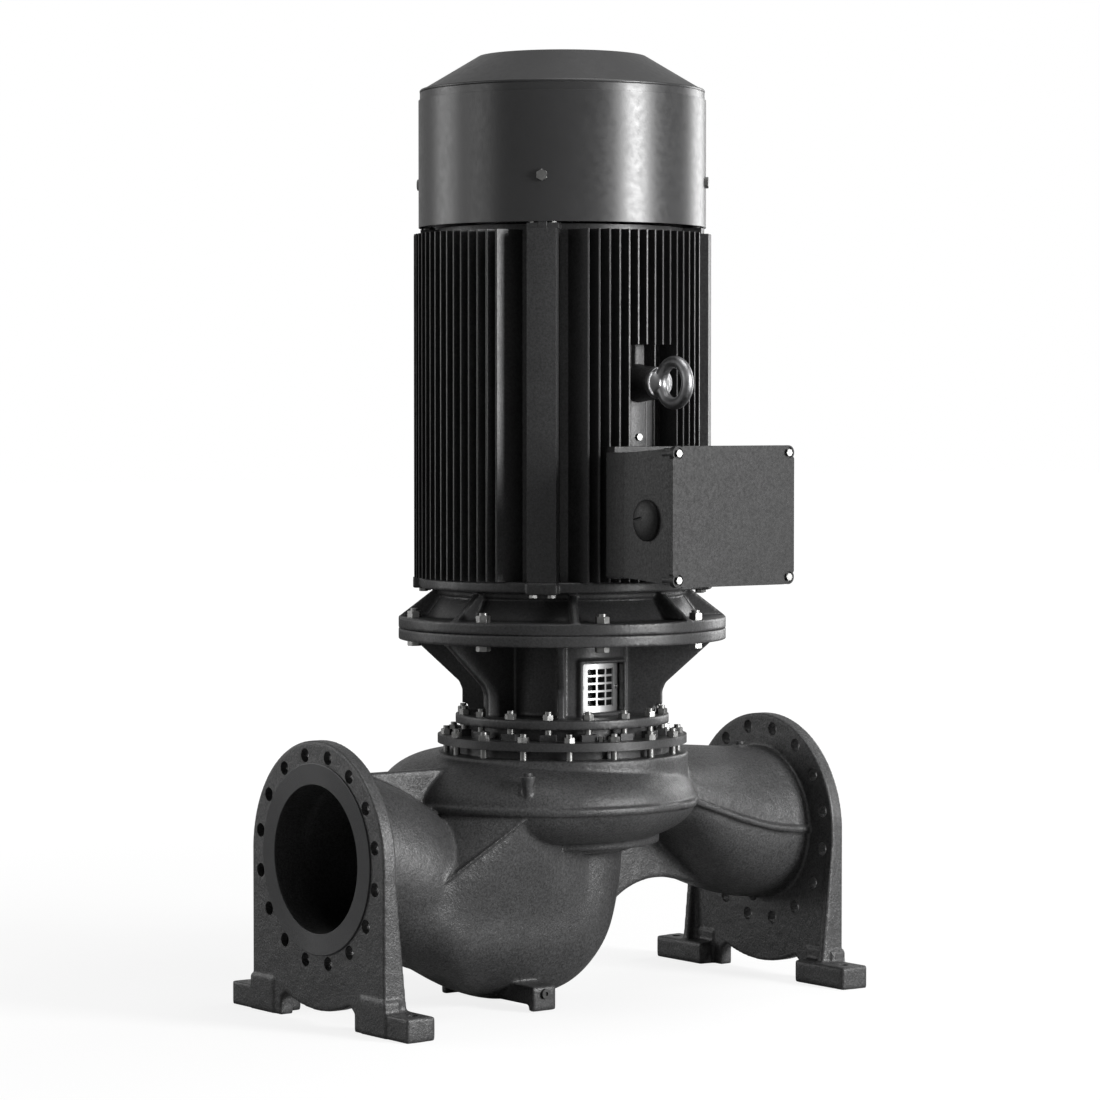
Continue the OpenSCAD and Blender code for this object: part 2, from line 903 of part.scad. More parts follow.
// Cover with its spigot, pads and seal chamber
module cover() {
    color(dark) on_shaft() difference() {
        union() {
            rotate_extrude() polygon([
                [seal_chamber_r, spigot_z], [spigot_r - seat_slip, spigot_z],
                [spigot_r - seat_slip, cover_z], [cover_r, cover_z], [cover_r, cover_top],
                [hub_r, cover_top], [hub_r, stool_z], [pocket_r, stool_z],
                [pocket_r, pocket_z], [seal_boss_r, pocket_z], [seal_boss_r, stool_z],
                [seat_bore_r, stool_z], [seat_bore_r, seat_ledge_z],
                [seal_chamber_r, seat_ledge_z]]);
            around(cover_studs_n, stool_stud_r)
                translate([-pad_depth / 2, -pad_l / 2, cover_top - bite])
                    cube([pad_depth, pad_l, pad_h + bite]);
        }
        around(cover_studs_n, cover_stud_r, 180 / cover_studs_n)
            translate([0, 0, cover_z - bite]) cylinder(r = stud_r + 1, h = cover_t + 2 * bite);
        around(cover_studs_n, stool_stud_r)
            translate([0, 0, stool_stud_z - 2])
                cylinder(r = stud_r + thread_slip, h = stool_top - stool_stud_z);
        ring(groove_r, spigot_r + bite, groove_z, groove_z + groove_h);
        rotate(vent_turn) translate([vent_r, 0, cover_top - vent_l - 2])
            cylinder(r = vent_screw_r + vent_slip, h = vent_l + 2 + bite);
    }
}

module cover_seal_ring() {
    color(rubber) on_shaft() rotate_extrude()
        translate([groove_r + groove_h / 2, groove_z + groove_h / 2])
            circle(groove_h / 2 - thread_slip, $fn = 32);
}

module cover_studs() {
    color(zinc) on_shaft() around(cover_studs_n, cover_stud_r, 180 / cover_studs_n)
        translate([0, 0, drum_z - stud_in])
            cylinder(r = stud_r, h = stud_in + cover_gap + cover_t + stud_nut_h + stud_end);
}

module cover_nuts() {
    color(zinc) on_shaft() around(cover_studs_n, cover_stud_r, 180 / cover_studs_n)
        translate([0, 0, cover_top]) nut(stud_af, stud_nut_h, stud_r + thread_slip);
}

module vent_screw() {
    color(brass) on_shaft() rotate(vent_turn) translate([vent_r, 0, cover_top])
        hex_screw(vent_af, vent_head_h, vent_screw_r, vent_l);
}

// Outline of one stool rib, radius against height
module rib_outline() {
    polygon([[tube_r - tube_wall / 2, stool_top - bite], [rib_foot_r, stool_top - bite],
        [rib_foot_r, rib_knee_z - 15], [rib_foot_r + 8, rib_knee_z + 5],
        [rib_top_r, seat_z - joint_t + bite], [tube_r - tube_wall / 2, seat_z - joint_t + bite]]);
}

// Window opening through the tube, grown on all sides
module window_box(grow) {
    translate([tube_r / 2, -window_w / 2 - grow, window_z - grow])
        cube([tube_r, window_w + 2 * grow, window_h + 2 * grow]);
}

// Stool between the pump cover and the motor
module motor_stool() {
    color(dark) on_shaft() difference() {
        union() {
            translate([0, 0, stool_z]) cylinder(r = stool_r, h = stool_t);
            translate([0, 0, stool_z]) cylinder(r = tube_r, h = stool_h);
            translate([0, 0, seat_z - joint_t]) cylinder(r = motor_flange_r, h = joint_t);
            for (a = rib_angles)
                rotate(a) translate([0, rib_t / 2, 0]) rotate([90, 0, 0])
                    linear_extrude(rib_t) rib_outline();
            for (k = [-1, 1]) rotate(90 * k + stool_turn) intersection() {
                window_box(window_rim);
                translate([0, 0, stool_z]) cylinder(r = tube_r + window_rim, h = stool_h);
            }
        }
        translate([0, 0, stool_z - bite])
            cylinder(r = tube_r - tube_wall, h = stool_h + 2 * bite);
        translate([0, 0, seat_z - spigot_h - bite])
            cylinder(r = motor_spigot_r + seat_slip, h = spigot_h + 2 * bite);
        for (k = [-1, 1]) rotate(90 * k + stool_turn) window_box(0);
        around(cover_studs_n, stool_stud_r) {
            translate([0, 0, stool_z - bite]) cylinder(r = stud_r + 1, h = stool_t + 2 * bite);
            translate([0, 0, stool_top]) cylinder(r = spot_face_r, h = spot_face_h);
        }
        around(motor_bolts, motor_pcd_r, 180 / motor_bolts)
            translate([0, 0, seat_z - joint_t - bite])
                cylinder(r = motor_bolt_r + 1, h = joint_t + 2 * bite);
    }
}

module stool_studs() {
    color(zinc) on_shaft() around(cover_studs_n, stool_stud_r)
        translate([0, 0, stool_stud_z])
            cylinder(r = stud_r, h = stool_top + stud_nut_h + stud_end - stool_stud_z);
}

module stool_nuts() {
    color(zinc) on_shaft() around(cover_studs_n, stool_stud_r)
        translate([0, 0, stool_top]) nut(stud_af, stud_nut_h, stud_r + thread_slip);
}

// Sector of a thin sheet curved round the shaft
module curved_sheet(r_out, t, half, z0, z1) {
    translate([0, 0, z0]) rotate_extrude(angle = 2 * half, start = -half)
        translate([r_out - t, 0]) square([t, z1 - z0]);
}

// Stainless sheets that close the two windows from inside
module coupling_guards() {
    color(steel) on_shaft() for (k = [-1, 1]) rotate(90 * k + stool_turn) difference() {
        curved_sheet(guard_r, guard_t, guard_half, window_z - guard_lap,
            window_z + window_h + guard_lap);
        translate([guard_r / 2, -grille_w / 2, window_z + grille_in])
            cube([guard_r, grille_w, window_h - 2 * grille_in]);
        guard_screw_places()
            cylinder(r = guard_screw_r + thread_slip, h = 2 * guard_screw_l, center = true);
    }
}

// Places of the two small screws of a guard
module guard_screw_places() {
    for (y = [-1, 1])
        rotate(y * guard_screw_turn) translate([guard_r, 0, window_z + window_h / 2])
            rotate([0, 90, 0]) children();
}

// Slotted grilles behind the guards
module guard_grilles() {
    r = guard_r - guard_t - seat_slip;
    slot_h = (window_h - 2 * grille_in) / grille_rows - grille_bar;
    color(zinc) on_shaft() for (k = [-1, 1]) rotate(90 * k + stool_turn) difference() {
        curved_sheet(r, guard_t, guard_half - 3, window_z - guard_lap / 2,
            window_z + window_h + guard_lap / 2);
        for (i = [0:grille_rows - 1], j = [-1:1])
            translate([r / 2, (j - 0.5) * grille_w / 3 + grille_bar / 2,
                window_z + grille_in + i * (slot_h + grille_bar) + grille_bar / 2])
                cube([r, grille_w / 3 - grille_bar, slot_h]);
        guard_screw_places()
            cylinder(r = guard_screw_r + thread_slip, h = 2 * guard_screw_l, center = true);
    }
}

module guard_screws() {
    color(zinc) on_shaft() for (k = [-1, 1]) rotate(90 * k + stool_turn) guard_screw_places() {
        cylinder(r1 = guard_screw_r * 2, r2 = guard_screw_r * 1.4, h = guard_screw_r);
        translate([0, 0, -guard_screw_l]) cylinder(r = guard_screw_r, h = guard_screw_l + bite);
    }
}

// Mechanical seal, from the still seat down to the driven collar
module seal_seat() {
    color(dark) on_shaft() ring(shaft_seal_r + seal_gap, seat_bore_r - seat_slip,
        seat_ledge_z - 3, stool_z - seal_gap);
}

module seal_face() {
    color(steel) on_shaft() ring(shaft_seal_r + seat_slip, seat_bore_r - 4,
        seat_ledge_z - 3 - run_gap - face_ring_h, seat_ledge_z - 3 - run_gap);
}

module seal_bellows() {
    z0 = collar_z + collar_h;
    z1 = seat_ledge_z - 3 - run_gap - face_ring_h;
    fold = (z1 - z0) / (2 * bellows_folds);
    r = shaft_seal_r + seal_gap;
    color(steel) on_shaft() rotate_extrude() polygon(concat(
        [for (i = [0:2 * bellows_folds]) [r + (i % 2) * bellows_deep, z0 + i * fold]],
        [for (i = [2 * bellows_folds:-1:0]) [r + bellows_t + (i % 2) * bellows_deep, z0 + i * fold]]));
}

module seal_collar() {
    color(steel) on_shaft()
        ring(shaft_seal_r + seat_slip, seat_bore_r - 2, collar_z, collar_z + collar_h);
}

// Pump shaft from the impeller nut up to the coupling
module pump_shaft() {
    color(steel) on_shaft() difference() {
        rotate_extrude() polygon([[0, nut_z - 6], [nut_thread_r, nut_z - 6],
            [nut_thread_r, hub_low], [impeller_bore_r, hub_low], [impeller_bore_r, hub_top],
            [shaft_seal_r, hub_top], [shaft_seal_r, coupling_z - 20],
            [pump_shaft_r, coupling_z - 20], [pump_shaft_r, pump_shaft_end],
            [0, pump_shaft_end]]);
        impeller_key_box(key_slip);
    }
}

// Key between impeller and shaft, grown by a clearance
module impeller_key_box(grow) {
    translate([impeller_bore_r - key_in, -key_w / 2 - grow, hub_low + key_up - grow])
        cube([impeller_key_h + grow, key_w + 2 * grow, impeller_key_l + 2 * grow]);
}

module impeller_key() {
    color(steel) on_shaft() impeller_key_box(0);
}

// Outline of one blade seen from above
module blade_outline() {
    intersection() {
        difference() {
            translate([blade_in, blade_side]) circle(blade_round);
            translate([blade_in, blade_side]) circle(blade_round - blade_t);
        }
        difference() {
            circle(impeller_r - tip_gap);
            circle(eye_r - 24);
        }
        translate([0, -impeller_r]) square([impeller_r, 2 * impeller_r]);
    }
}

// One blade between the back plate and the shroud
module blade(z_in) {
    intersection() {
        translate([0, 0, skirt_top]) linear_extrude(disc_z - skirt_top + blade_sink)
            blade_outline();
        rotate_extrude() polygon([[0, disc_z + 2 * blade_sink],
            [impeller_r, disc_z + 2 * blade_sink], [impeller_r, z_in - blade_sink],
            [shroud_flat_r, z_in - blade_sink], [skirt_r + 30, z_in - 6 - blade_sink],
            [eye_r + 8, skirt_top - 6], [eye_r - 30, skirt_top + 8], [0, disc_z - 10]]);
    }
}

// Closed impeller with its eye below
module impeller() {
    z_in = disc_z - outlet_h;
    color(brass) on_shaft() difference() {
        union() {
            rotate_extrude() polygon([[impeller_bore_r + seat_slip, hub_low],
                [hub_wall_r, hub_low], [hub_wall_r + 6, disc_z - 26], [hub_wall_r + 24, disc_z],
                [impeller_r, disc_z], [impeller_r, hub_top],
                [impeller_bore_r + seat_slip, hub_top]]);
            rotate_extrude() polygon([[eye_r, skirt_z], [skirt_r, skirt_z],
                [skirt_r, skirt_top], [skirt_r + 30, z_in - 16], [impeller_r, z_in - shroud_t],
                [impeller_r, z_in], [shroud_flat_r, z_in], [skirt_r + 30, z_in - 6],
                [eye_r + 6, skirt_top],
                [eye_r, skirt_top - 10]]);
            for (i = [0:blades - 1]) rotate(i * 360 / blades) blade(z_in);
        }
        impeller_key_box(key_slip);
    }
}

module impeller_nut() {
    color(zinc) on_shaft() difference() {
        union() {
            translate([0, 0, nut_z]) hex_bar(nut_af, hub_low - nut_z);
            intersection() {
                translate([0, 0, nut_z]) sphere(r = nut_af / 2 - 2);
                translate([0, 0, nut_z - nut_af]) cylinder(r = nut_af, h = nut_af + bite);
            }
        }
        translate([0, 0, nut_z - 8])
            cylinder(r = nut_thread_r + thread_slip, h = hub_low - nut_z + 8 + bite);
    }
}

// Split coupling that clamps both shafts
module coupling_halves() {
    color(dark) on_shaft() difference() {
        translate([0, 0, coupling_z]) cylinder(r = coupling_r, h = coupling_l);
        translate([0, 0, coupling_z - bite])
            cylinder(r = pump_shaft_r + seat_slip, h = pump_shaft_end - coupling_z + 2 * bite);
        translate([0, 0, pump_shaft_end])
            cylinder(r = motor_shaft_r + seat_slip, h = coupling_l);
        translate([-coupling_r - bite, -half_gap, coupling_z - bite])
            cube([2 * (coupling_r + bite), 2 * half_gap, coupling_l + 2 * bite]);
        motor_key_box(key_slip);
        coupling_screw_places() {
            translate([0, 0, -coupling_r]) cylinder(r = screw_r + thread_slip, h = 2 * coupling_r);
            translate([0, 0, coupling_seat]) cylinder(r = screw_af / 2 + 4, h = coupling_r);
        }
    }
}

// Places of the coupling screws, pointing across the split
module coupling_screw_places() {
    pitch = coupling_l / coupling_screw_rows;
    for (x = [-1, 1], i = [0:coupling_screw_rows - 1])
        translate([x * coupling_screw_x, 0, coupling_z + (i + 0.5) * pitch])
            rotate([90, 0, 0]) children();
}

module coupling_screws() {
    color(zinc) on_shaft() coupling_screw_places() {
        translate([0, 0, coupling_seat]) difference() {
            cylinder(r = screw_af / 2, h = cap_head_h);
            translate([0, 0, cap_head_h / 2]) hex_bar(cap_socket, cap_head_h);
        }
        translate([0, 0, -coupling_seat]) cylinder(r = screw_r, h = 2 * coupling_seat + bite);
    }
}

// Key between motor shaft and coupling, grown by a clearance
module motor_key_box(grow) {
    translate([-key_w / 2 - grow, motor_shaft_r - key_in - 2, motor_shaft_end + key_up - grow])
        cube([key_w + 2 * grow, motor_key_h + grow, motor_key_l + 2 * grow]);
}

module shaft_key() {
    color(steel) on_shaft() motor_key_box(0);
}

module motor_shaft() {
    color(steel) on_shaft() difference() {
        rotate_extrude() polygon([[0, motor_shaft_end], [motor_shaft_r, motor_shaft_end],
            [motor_shaft_r, seat_z - 40], [drive_bearing_in - 3, seat_z - 40],
            [drive_bearing_in - 3, drive_bearing_z], [drive_bearing_in, drive_bearing_z],
            [drive_bearing_in, drive_bearing_z + drive_bearing_w],
            [core_shaft_r, drive_bearing_z + drive_bearing_w],
            [core_shaft_r, fan_bearing_z], [fan_bearing_in, fan_bearing_z],
            [fan_bearing_in, fan_bearing_z + fan_bearing_w],
            [fan_shaft_r, fan_bearing_z + fan_bearing_w], [fan_shaft_r, shaft_top],
            [0, shaft_top]]);
        motor_key_box(key_slip);
        ring(fan_shaft_r - 3, fan_shaft_r + bite, fan_z + fan_h, fan_z + fan_h + circlip_t + 0.2);
    }
}

// Rotor stack on the motor shaft and its cast end rings
module rotor_core() {
    color(steel) on_shaft()
        ring(core_shaft_r + seat_slip, rotor_r - air_gap, core_z, core_z + core_l);
}

module rotor_end_rings() {
    color(zinc) on_shaft() {
        for (z = [core_z - ring_h, core_z + core_l])
            ring(rotor_r - end_ring_deep, rotor_r - 12, z, z + ring_h);
        for (k = [0, 1])
            translate([0, 0, k == 0 ? core_z - ring_h - vane_h : core_z + core_l + ring_h - bite])
                around(vanes, rotor_r - end_ring_deep + 15) translate([0, -vane_t / 2, 0])
                    cube([vane_l, vane_t, vane_h + bite]);
    }
}

module stator_core() {
    color(steel) on_shaft() difference() {
        ring(rotor_r, stator_r - seat_slip, core_z, core_z + core_l);
        around(slots, rotor_r - bite) translate([0, -slot_w / 2, core_z - bite])
            cube([slot_deep + bite, slot_w, core_l + 2 * bite]);
    }
}

module stator_windings() {
    color(copper) on_shaft() for (k = [0, 1])
        translate([0, 0, k == 0 ? core_z : core_z + core_l]) mirror([0, 0, 1 - k])
            rotate_extrude() polygon([[rotor_r + winding_in + 2, 0], [rotor_r + winding_out - 6, 0],
                [rotor_r + winding_out, winding_h - 20], [rotor_r + winding_out - 10, winding_h],
                [rotor_r + winding_in + 12, winding_h], [rotor_r + winding_in, winding_h - 16]]);
}

// Cross section of the finned frame, without its bore
module frame_section() {
    circle(frame_r);
    intersection() {
        circle(fin_tip_r);
        for (a = [0:3]) rotate(90 * a) for (k = [-fin_half:fin_half])
            translate([0, k * fin_pitch - fin_t / 2]) square([fin_tip_r, fin_t]);
    }
    intersection() {
        circle(fin_tip_r - 1);
        for (a = [0:3]) rotate(45 + 90 * a)
            translate([frame_r - 20, -bar_w / 2]) square([fin_tip_r, bar_w]);
    }
}

// Finned motor frame with the pads for the box and the lifting eyes
module motor_frame() {
    fin_clear = (2.5 * fin_pitch);
    color(black) on_shaft() difference() {
        union() {
            difference() {
                translate([0, 0, frame_z]) linear_extrude(frame_l) frame_section();
                for (k = [0, 1]) mirror([0, k, 0])
                    translate([-fin_clear, -fin_tip_r - bite, box_z + box_h / 2 - 6])
                        cube([2 * fin_clear, fin_tip_r - frame_r + bite,
                            fin_gap_top - box_z - box_h / 2]);
            }
            translate([-pad_w / 2, -eye_boss_y, frame_z + pad_low])
                cube([pad_w, eye_boss_y - frame_r + pad_sink, box_h - pad_low - 4]);
            for (k = [0, 1]) mirror([0, k, 0]) translate([0, -frame_r + 20, eye_z])
                rotate([90, 0, 0]) cylinder(r1 = eye_boss_r + 10, r2 = eye_boss_r,
                    h = eye_boss_y - frame_r + 20);
            for (k = [0, 1]) mirror([0, k, 0])
                translate([-fin_t / 2, -fin_tip_r + 1, eye_z]) cube([fin_t, 40, fin_gap_top - eye_z]);
        }
        translate([0, 0, frame_z - bite]) cylinder(r = stator_r, h = frame_l + 2 * bite);
        for (k = [0, 1]) mirror([0, k, 0])
            translate([0, -eye_boss_y + eye_stem, eye_z]) rotate([90, 0, 0])
                cylinder(r = eye_shank_r + thread_slip, h = eye_stem + bite);
        translate([-cable_hole / 2, -eye_boss_y - bite, box_z - cable_hole / 2])
            cube([cable_hole, eye_boss_y - stator_r + 40, cable_hole]);
        endshield_screw_places() translate([0, 0, -screw_l - 2])
            cylinder(r = screw_r + thread_slip, h = screw_l + 4);
        translate([0, -frame_r - bite, earth_z]) rotate([-90, 0, 0])
            cylinder(r = earth_r + thread_slip, h = frame_wall - 3 + bite);
    }
}

// Places of the endshield screws, heads outward at both frame ends
module endshield_screw_places() {
    for (a = [45:90:315], t = [-1, 1]) rotate(a) {
        translate([ear_screw_r, t * ear_screw_t, frame_z - ear_h]) mirror([0, 0, 1]) children();
        translate([fan_screw_r, t * ear_screw_t, frame_top + fan_plate_t]) children();
    }
}

module endshield_screws() {
    color(zinc) on_shaft() endshield_screw_places()
        hex_screw(screw_af, screw_head_h, screw_r, screw_l);
}

// Drive endshield with its flange, ribs and bearing seat
module drive_endshield() {
    color(black) on_shaft() difference() {
        union() {
            rotate_extrude() polygon([[shaft_hole_r, seat_z], [shaft_hole_r, seat_z - spigot_h + 1],
                [motor_spigot_r, seat_z - spigot_h + 1], [motor_spigot_r, seat_z],
                [motor_flange_r, seat_z], [motor_flange_r, shield_flange_top],
                [cone_low_r, shield_flange_top], [cone_top_r, band_z], [frame_r, band_z],
                [frame_r, band_z + band_h], [shield_ring_r, band_z + band_h],
                [shield_ring_r, frame_z], [stator_r - seat_slip, frame_z],
                [stator_r - seat_slip, frame_z + 8], [cavity_r, frame_z + 8],
                [cavity_r, shield_flange_top + 20], [bearing_boss_r, shield_flange_top + 10],
                [bearing_boss_r, drive_bearing_z + drive_bearing_w],
                [drive_bearing_r + seat_slip, drive_bearing_z + drive_bearing_w],
                [drive_bearing_r + seat_slip, drive_bearing_z],
                [shaft_hole_r, drive_bearing_z]]);
            for (i = [0:shield_ribs - 1]) rotate(shield_rib_turn + i * 360 / shield_ribs)
                translate([0, shield_rib_t / 2, 0]) rotate([90, 0, 0])
                    linear_extrude(shield_rib_t) polygon([
                        [cone_top_r - 4, shield_flange_top - bite],
                        [motor_flange_r - 4, shield_flange_top - bite],
                        [motor_flange_r - 4, shield_flange_top + 2],
                        [frame_r + 8, band_z + band_h + bite],
                        [cone_top_r - 4, band_z + band_h + bite]]);
            for (a = [45:90:315]) rotate(a) intersection() {
                translate([0, 0, frame_z - ear_h]) cylinder(r = ear_r, h = ear_h);
                translate([frame_r - 20, -ear_w / 2, frame_z - ear_h])
                    cube([ear_r, ear_w, ear_h]);
            }
        }
        around(motor_bolts, motor_pcd_r, 180 / motor_bolts)
            translate([0, 0, seat_z - bite]) cylinder(r = motor_bolt_r + 1, h = joint_t + 2 * bite);
        endshield_screw_places() translate([0, 0, -ear_h - 10])
            cylinder(r = screw_r + 1, h = ear_h + 12);
    }
}

// Fan endshield with the lugs that carry the cowl
module fan_endshield() {
    color(black) on_shaft() difference() {
        union() {
            rotate_extrude() polygon([[shaft_hole_r, frame_top], [frame_r, frame_top],
                [frame_r, frame_top + fan_plate_t], [bearing_boss_r - 15, frame_top + fan_plate_t + 14],
                [shaft_hole_r, frame_top + fan_plate_t + 14]]);
            ring(fan_bearing_r + seat_slip, bearing_boss_r - 20, fan_bearing_z,
                frame_top + bite);
            ring(cavity_r, stator_r - seat_slip, frame_top - 8, frame_top + bite);
            for (a = [45:90:315]) rotate(a) {
                intersection() {
                    translate([0, 0, frame_top]) cylinder(r = shield_ring_r, h = fan_plate_t);
                    translate([frame_r - 30, -ear_w / 2, frame_top])
                        cube([ear_r, ear_w, fan_plate_t]);
                }
                intersection() {
                    translate([0, 0, frame_top]) cylinder(r = cowl_r - cowl_t - run_gap, h = lug_h);
                    translate([lug_in_r, -lug_w / 2, frame_top]) cube([cowl_r, lug_w, lug_h]);
                }
            }
        }
        translate([0, 0, fan_bearing_z]) cylinder(r = fan_bearing_r + seat_slip,
            h = frame_top + spring_top - fan_bearing_z);
        endshield_screw_places() translate([0, 0, -ear_h - 10])
            cylinder(r = screw_r + 1, h = ear_h + 12);
        cowl_screw_places() translate([0, 0, -30])
            cylinder(r = screw_r + thread_slip, h = 40);
    }
}

// Ball bearing seats shared by both ends: outer ring with its groove
module bearing_outer(r, bore, w, z) {
    pitch = (r + bore) / 2;
    ball = (r - bore) * ball_share;
    difference() {
        ring(pitch + ball * race_share, r, z, z + w);
        translate([0, 0, z + w / 2]) rotate_extrude()
            translate([pitch, 0]) circle(ball + ball_gap, $fn = 48);
    }
}

// Inner ring of a ball bearing with its groove
module bearing_inner(r, bore, w, z) {
    pitch = (r + bore) / 2;
    ball = (r - bore) * ball_share;
    difference() {
        ring(bore + seat_slip, pitch - ball * race_share, z, z + w);
        translate([0, 0, z + w / 2]) rotate_extrude()
            translate([pitch, 0]) circle(ball + ball_gap, $fn = 48);
    }
}

// Balls of a bearing joined by their cage
module bearing_balls(r, bore, w, z) {
    pitch = (r + bore) / 2;
    ball = (r - bore) * ball_share;
    ring(pitch - cage_t, pitch + cage_t, z + w / 2 - cage_t, z + w / 2 + cage_t);
    around(balls_n, pitch) translate([0, 0, z + w / 2]) sphere(r = ball, $fn = 48);
}

module drive_bearing_outer() {
    color(steel) on_shaft() bearing_outer(drive_bearing_r, drive_bearing_in,
        drive_bearing_w, drive_bearing_z);
}

module drive_bearing_inner() {
    color(steel) on_shaft() bearing_inner(drive_bearing_r, drive_bearing_in,
        drive_bearing_w, drive_bearing_z);
}

module drive_bearing_balls() {
    color(zinc) on_shaft() bearing_balls(drive_bearing_r, drive_bearing_in,
        drive_bearing_w, drive_bearing_z);
}

module fan_bearing_outer() {
    color(steel) on_shaft() bearing_outer(fan_bearing_r, fan_bearing_in,
        fan_bearing_w, fan_bearing_z);
}

module fan_bearing_inner() {
    color(steel) on_shaft() bearing_inner(fan_bearing_r, fan_bearing_in,
        fan_bearing_w, fan_bearing_z);
}

module fan_bearing_balls() {
    color(zinc) on_shaft() bearing_balls(fan_bearing_r, fan_bearing_in,
        fan_bearing_w, fan_bearing_z);
}

// Inner caps that close both bearings towards the windings
module bearing_caps() {
    color(black) on_shaft() {
        z = drive_bearing_z + drive_bearing_w;
        ring(core_shaft_r + 3, bearing_boss_r - 5, z, z + cap_t);
        ring(core_shaft_r + 3, bearing_boss_r - 22, fan_bearing_z - cap_t, fan_bearing_z);
    }
}

module preload_spring() {
    color(steel) on_shaft() ring(fan_bearing_r - 14, fan_bearing_r - 1,
        fan_bearing_z + fan_bearing_w, frame_top + spring_top);
}

module shaft_v_ring() {
    z = seat_z - spigot_h + 1;
    color(rubber) on_shaft() rotate_extrude() polygon([
        [drive_bearing_in - 3 + seat_slip, z - 16], [drive_bearing_in + 7, z - 16],
        [drive_bearing_in + 7, z - 9], [drive_bearing_in + 12, z - run_gap],
        [drive_bearing_in + 10, z - run_gap], [drive_bearing_in - 3 + seat_slip, z - 7]]);
}

// Radial fan under the cowl
module fan() {
    color(black) on_shaft() {
        ring(fan_shaft_r + seat_slip, fan_hub_r, fan_z, fan_z + fan_h);
        ring(fan_hub_r - 5, fan_r, fan_z, fan_z + fan_disc_t);
        around(fan_blades, fan_hub_r - 5) translate([0, -fan_blade_t / 2, fan_z])
            rotate([90, 0, 0]) mirror([0, 0, 1]) linear_extrude(fan_blade_t) polygon([[0, 0],
                [fan_r - fan_hub_r + 3, 0], [fan_r - fan_hub_r + 3, fan_h - 18],
                [fan_r - fan_hub_r - 60, fan_h], [0, fan_h - 24]]);
    }
}

module fan_circlip() {
    color(steel) on_shaft() difference() {
        ring(fan_shaft_r - 2.5, fan_shaft_r + 6, fan_z + fan_h, fan_z + fan_h + circlip_t);
        translate([0, -circlip_gap / 2, fan_z + fan_h - bite])
            cube([fan_shaft_r * 2, circlip_gap, circlip_t + 2 * bite]);
    }
}

// Sheet cowl round the fan
module fan_cowl() {
    color(dark) on_shaft() difference() {
        ring(cowl_r - cowl_t, cowl_r, cowl_z, cowl_seam);
        cowl_screw_places() translate([0, 0, -lug_w])
            cylinder(r = screw_r + thread_slip, h = 2 * lug_w);
    }
}

// Places of the cowl screws, heads outward
module cowl_screw_places() {
    for (a = [45:90:315]) rotate(a) translate([cowl_r, 0, cowl_screw_z])
        rotate([0, 90, 0]) children();
}

module cowl_screws() {
    color(zinc) on_shaft() cowl_screw_places()
        hex_screw(cowl_screw_af, screw_head_h, screw_r, cowl_screw_l);
}

// Rain canopy with the air intake in its flat top
module cowl_canopy() {
    band_r = cowl_r - cowl_t - run_gap;
    color(dark) on_shaft() difference() {
        rotate_extrude() polygon([[band_r - cowl_t, cowl_seam - 10], [band_r, cowl_seam - 10],
            [band_r, cowl_seam + 18], [band_r - 6, cowl_seam + 26],
            [canopy_knee_r, cowl_top - 15], [canopy_top_r, cowl_top], [0, cowl_top],
            [0, cowl_top - cowl_t], [canopy_top_r - 1, cowl_top - cowl_t],
            [canopy_knee_r - 2, cowl_top - 15 - cowl_t], [band_r - 9, cowl_seam + 24],
            [band_r - cowl_t, cowl_seam + 17]]);
        for (i = [0:intake_rings - 1]) difference() {
            ring(intake_in + i * intake_pitch, intake_in + i * intake_pitch + intake_slot,
                cowl_top - cowl_t - bite, cowl_top + bite);
            for (a = [0:60:120]) rotate(a)
                translate([-cowl_r, -intake_bar / 2, cowl_top - 2 * cowl_t])
                    cube([2 * cowl_r, intake_bar, 4 * cowl_t]);
        }
    }
}

module motor_flange_bolts() {
    color(zinc) on_shaft() around(motor_bolts, motor_pcd_r, 180 / motor_bolts)
        translate([0, 0, seat_z - joint_t]) mirror([0, 0, 1])
            hex_screw(motor_bolt_af, motor_head_h, motor_bolt_r,
                2 * joint_t + motor_nut_h + 6);
}

module motor_flange_nuts() {
    color(zinc) on_shaft() around(motor_bolts, motor_pcd_r, 180 / motor_bolts)
        translate([0, 0, shield_flange_top])
            nut(motor_bolt_af, motor_nut_h, motor_bolt_r + thread_slip);
}

// Tapering block, its back on the motor and its front under the lid
module box_block(grow, y_back, y_front) {
    back = box_w / 2 - box_taper + grow;
    front = box_w / 2 - box_step + grow;
    intersection() {
        translate([0, 0, box_z - box_h]) linear_extrude(2 * box_h) polygon([
            [-back, -y_back], [-front, -y_front], [front, -y_front], [back, -y_back]]);
        rotate([90, 0, 90]) translate([0, 0, -box_w]) linear_extrude(2 * box_w) polygon([
            [-y_back, box_z - box_h / 2 + box_taper - grow],
            [-y_front, box_z - box_h / 2 + box_step - grow],
            [-y_front, box_z + box_h / 2 - box_step + grow],
            [-y_back, box_z + box_h / 2 - box_taper + grow]]);
    }
}

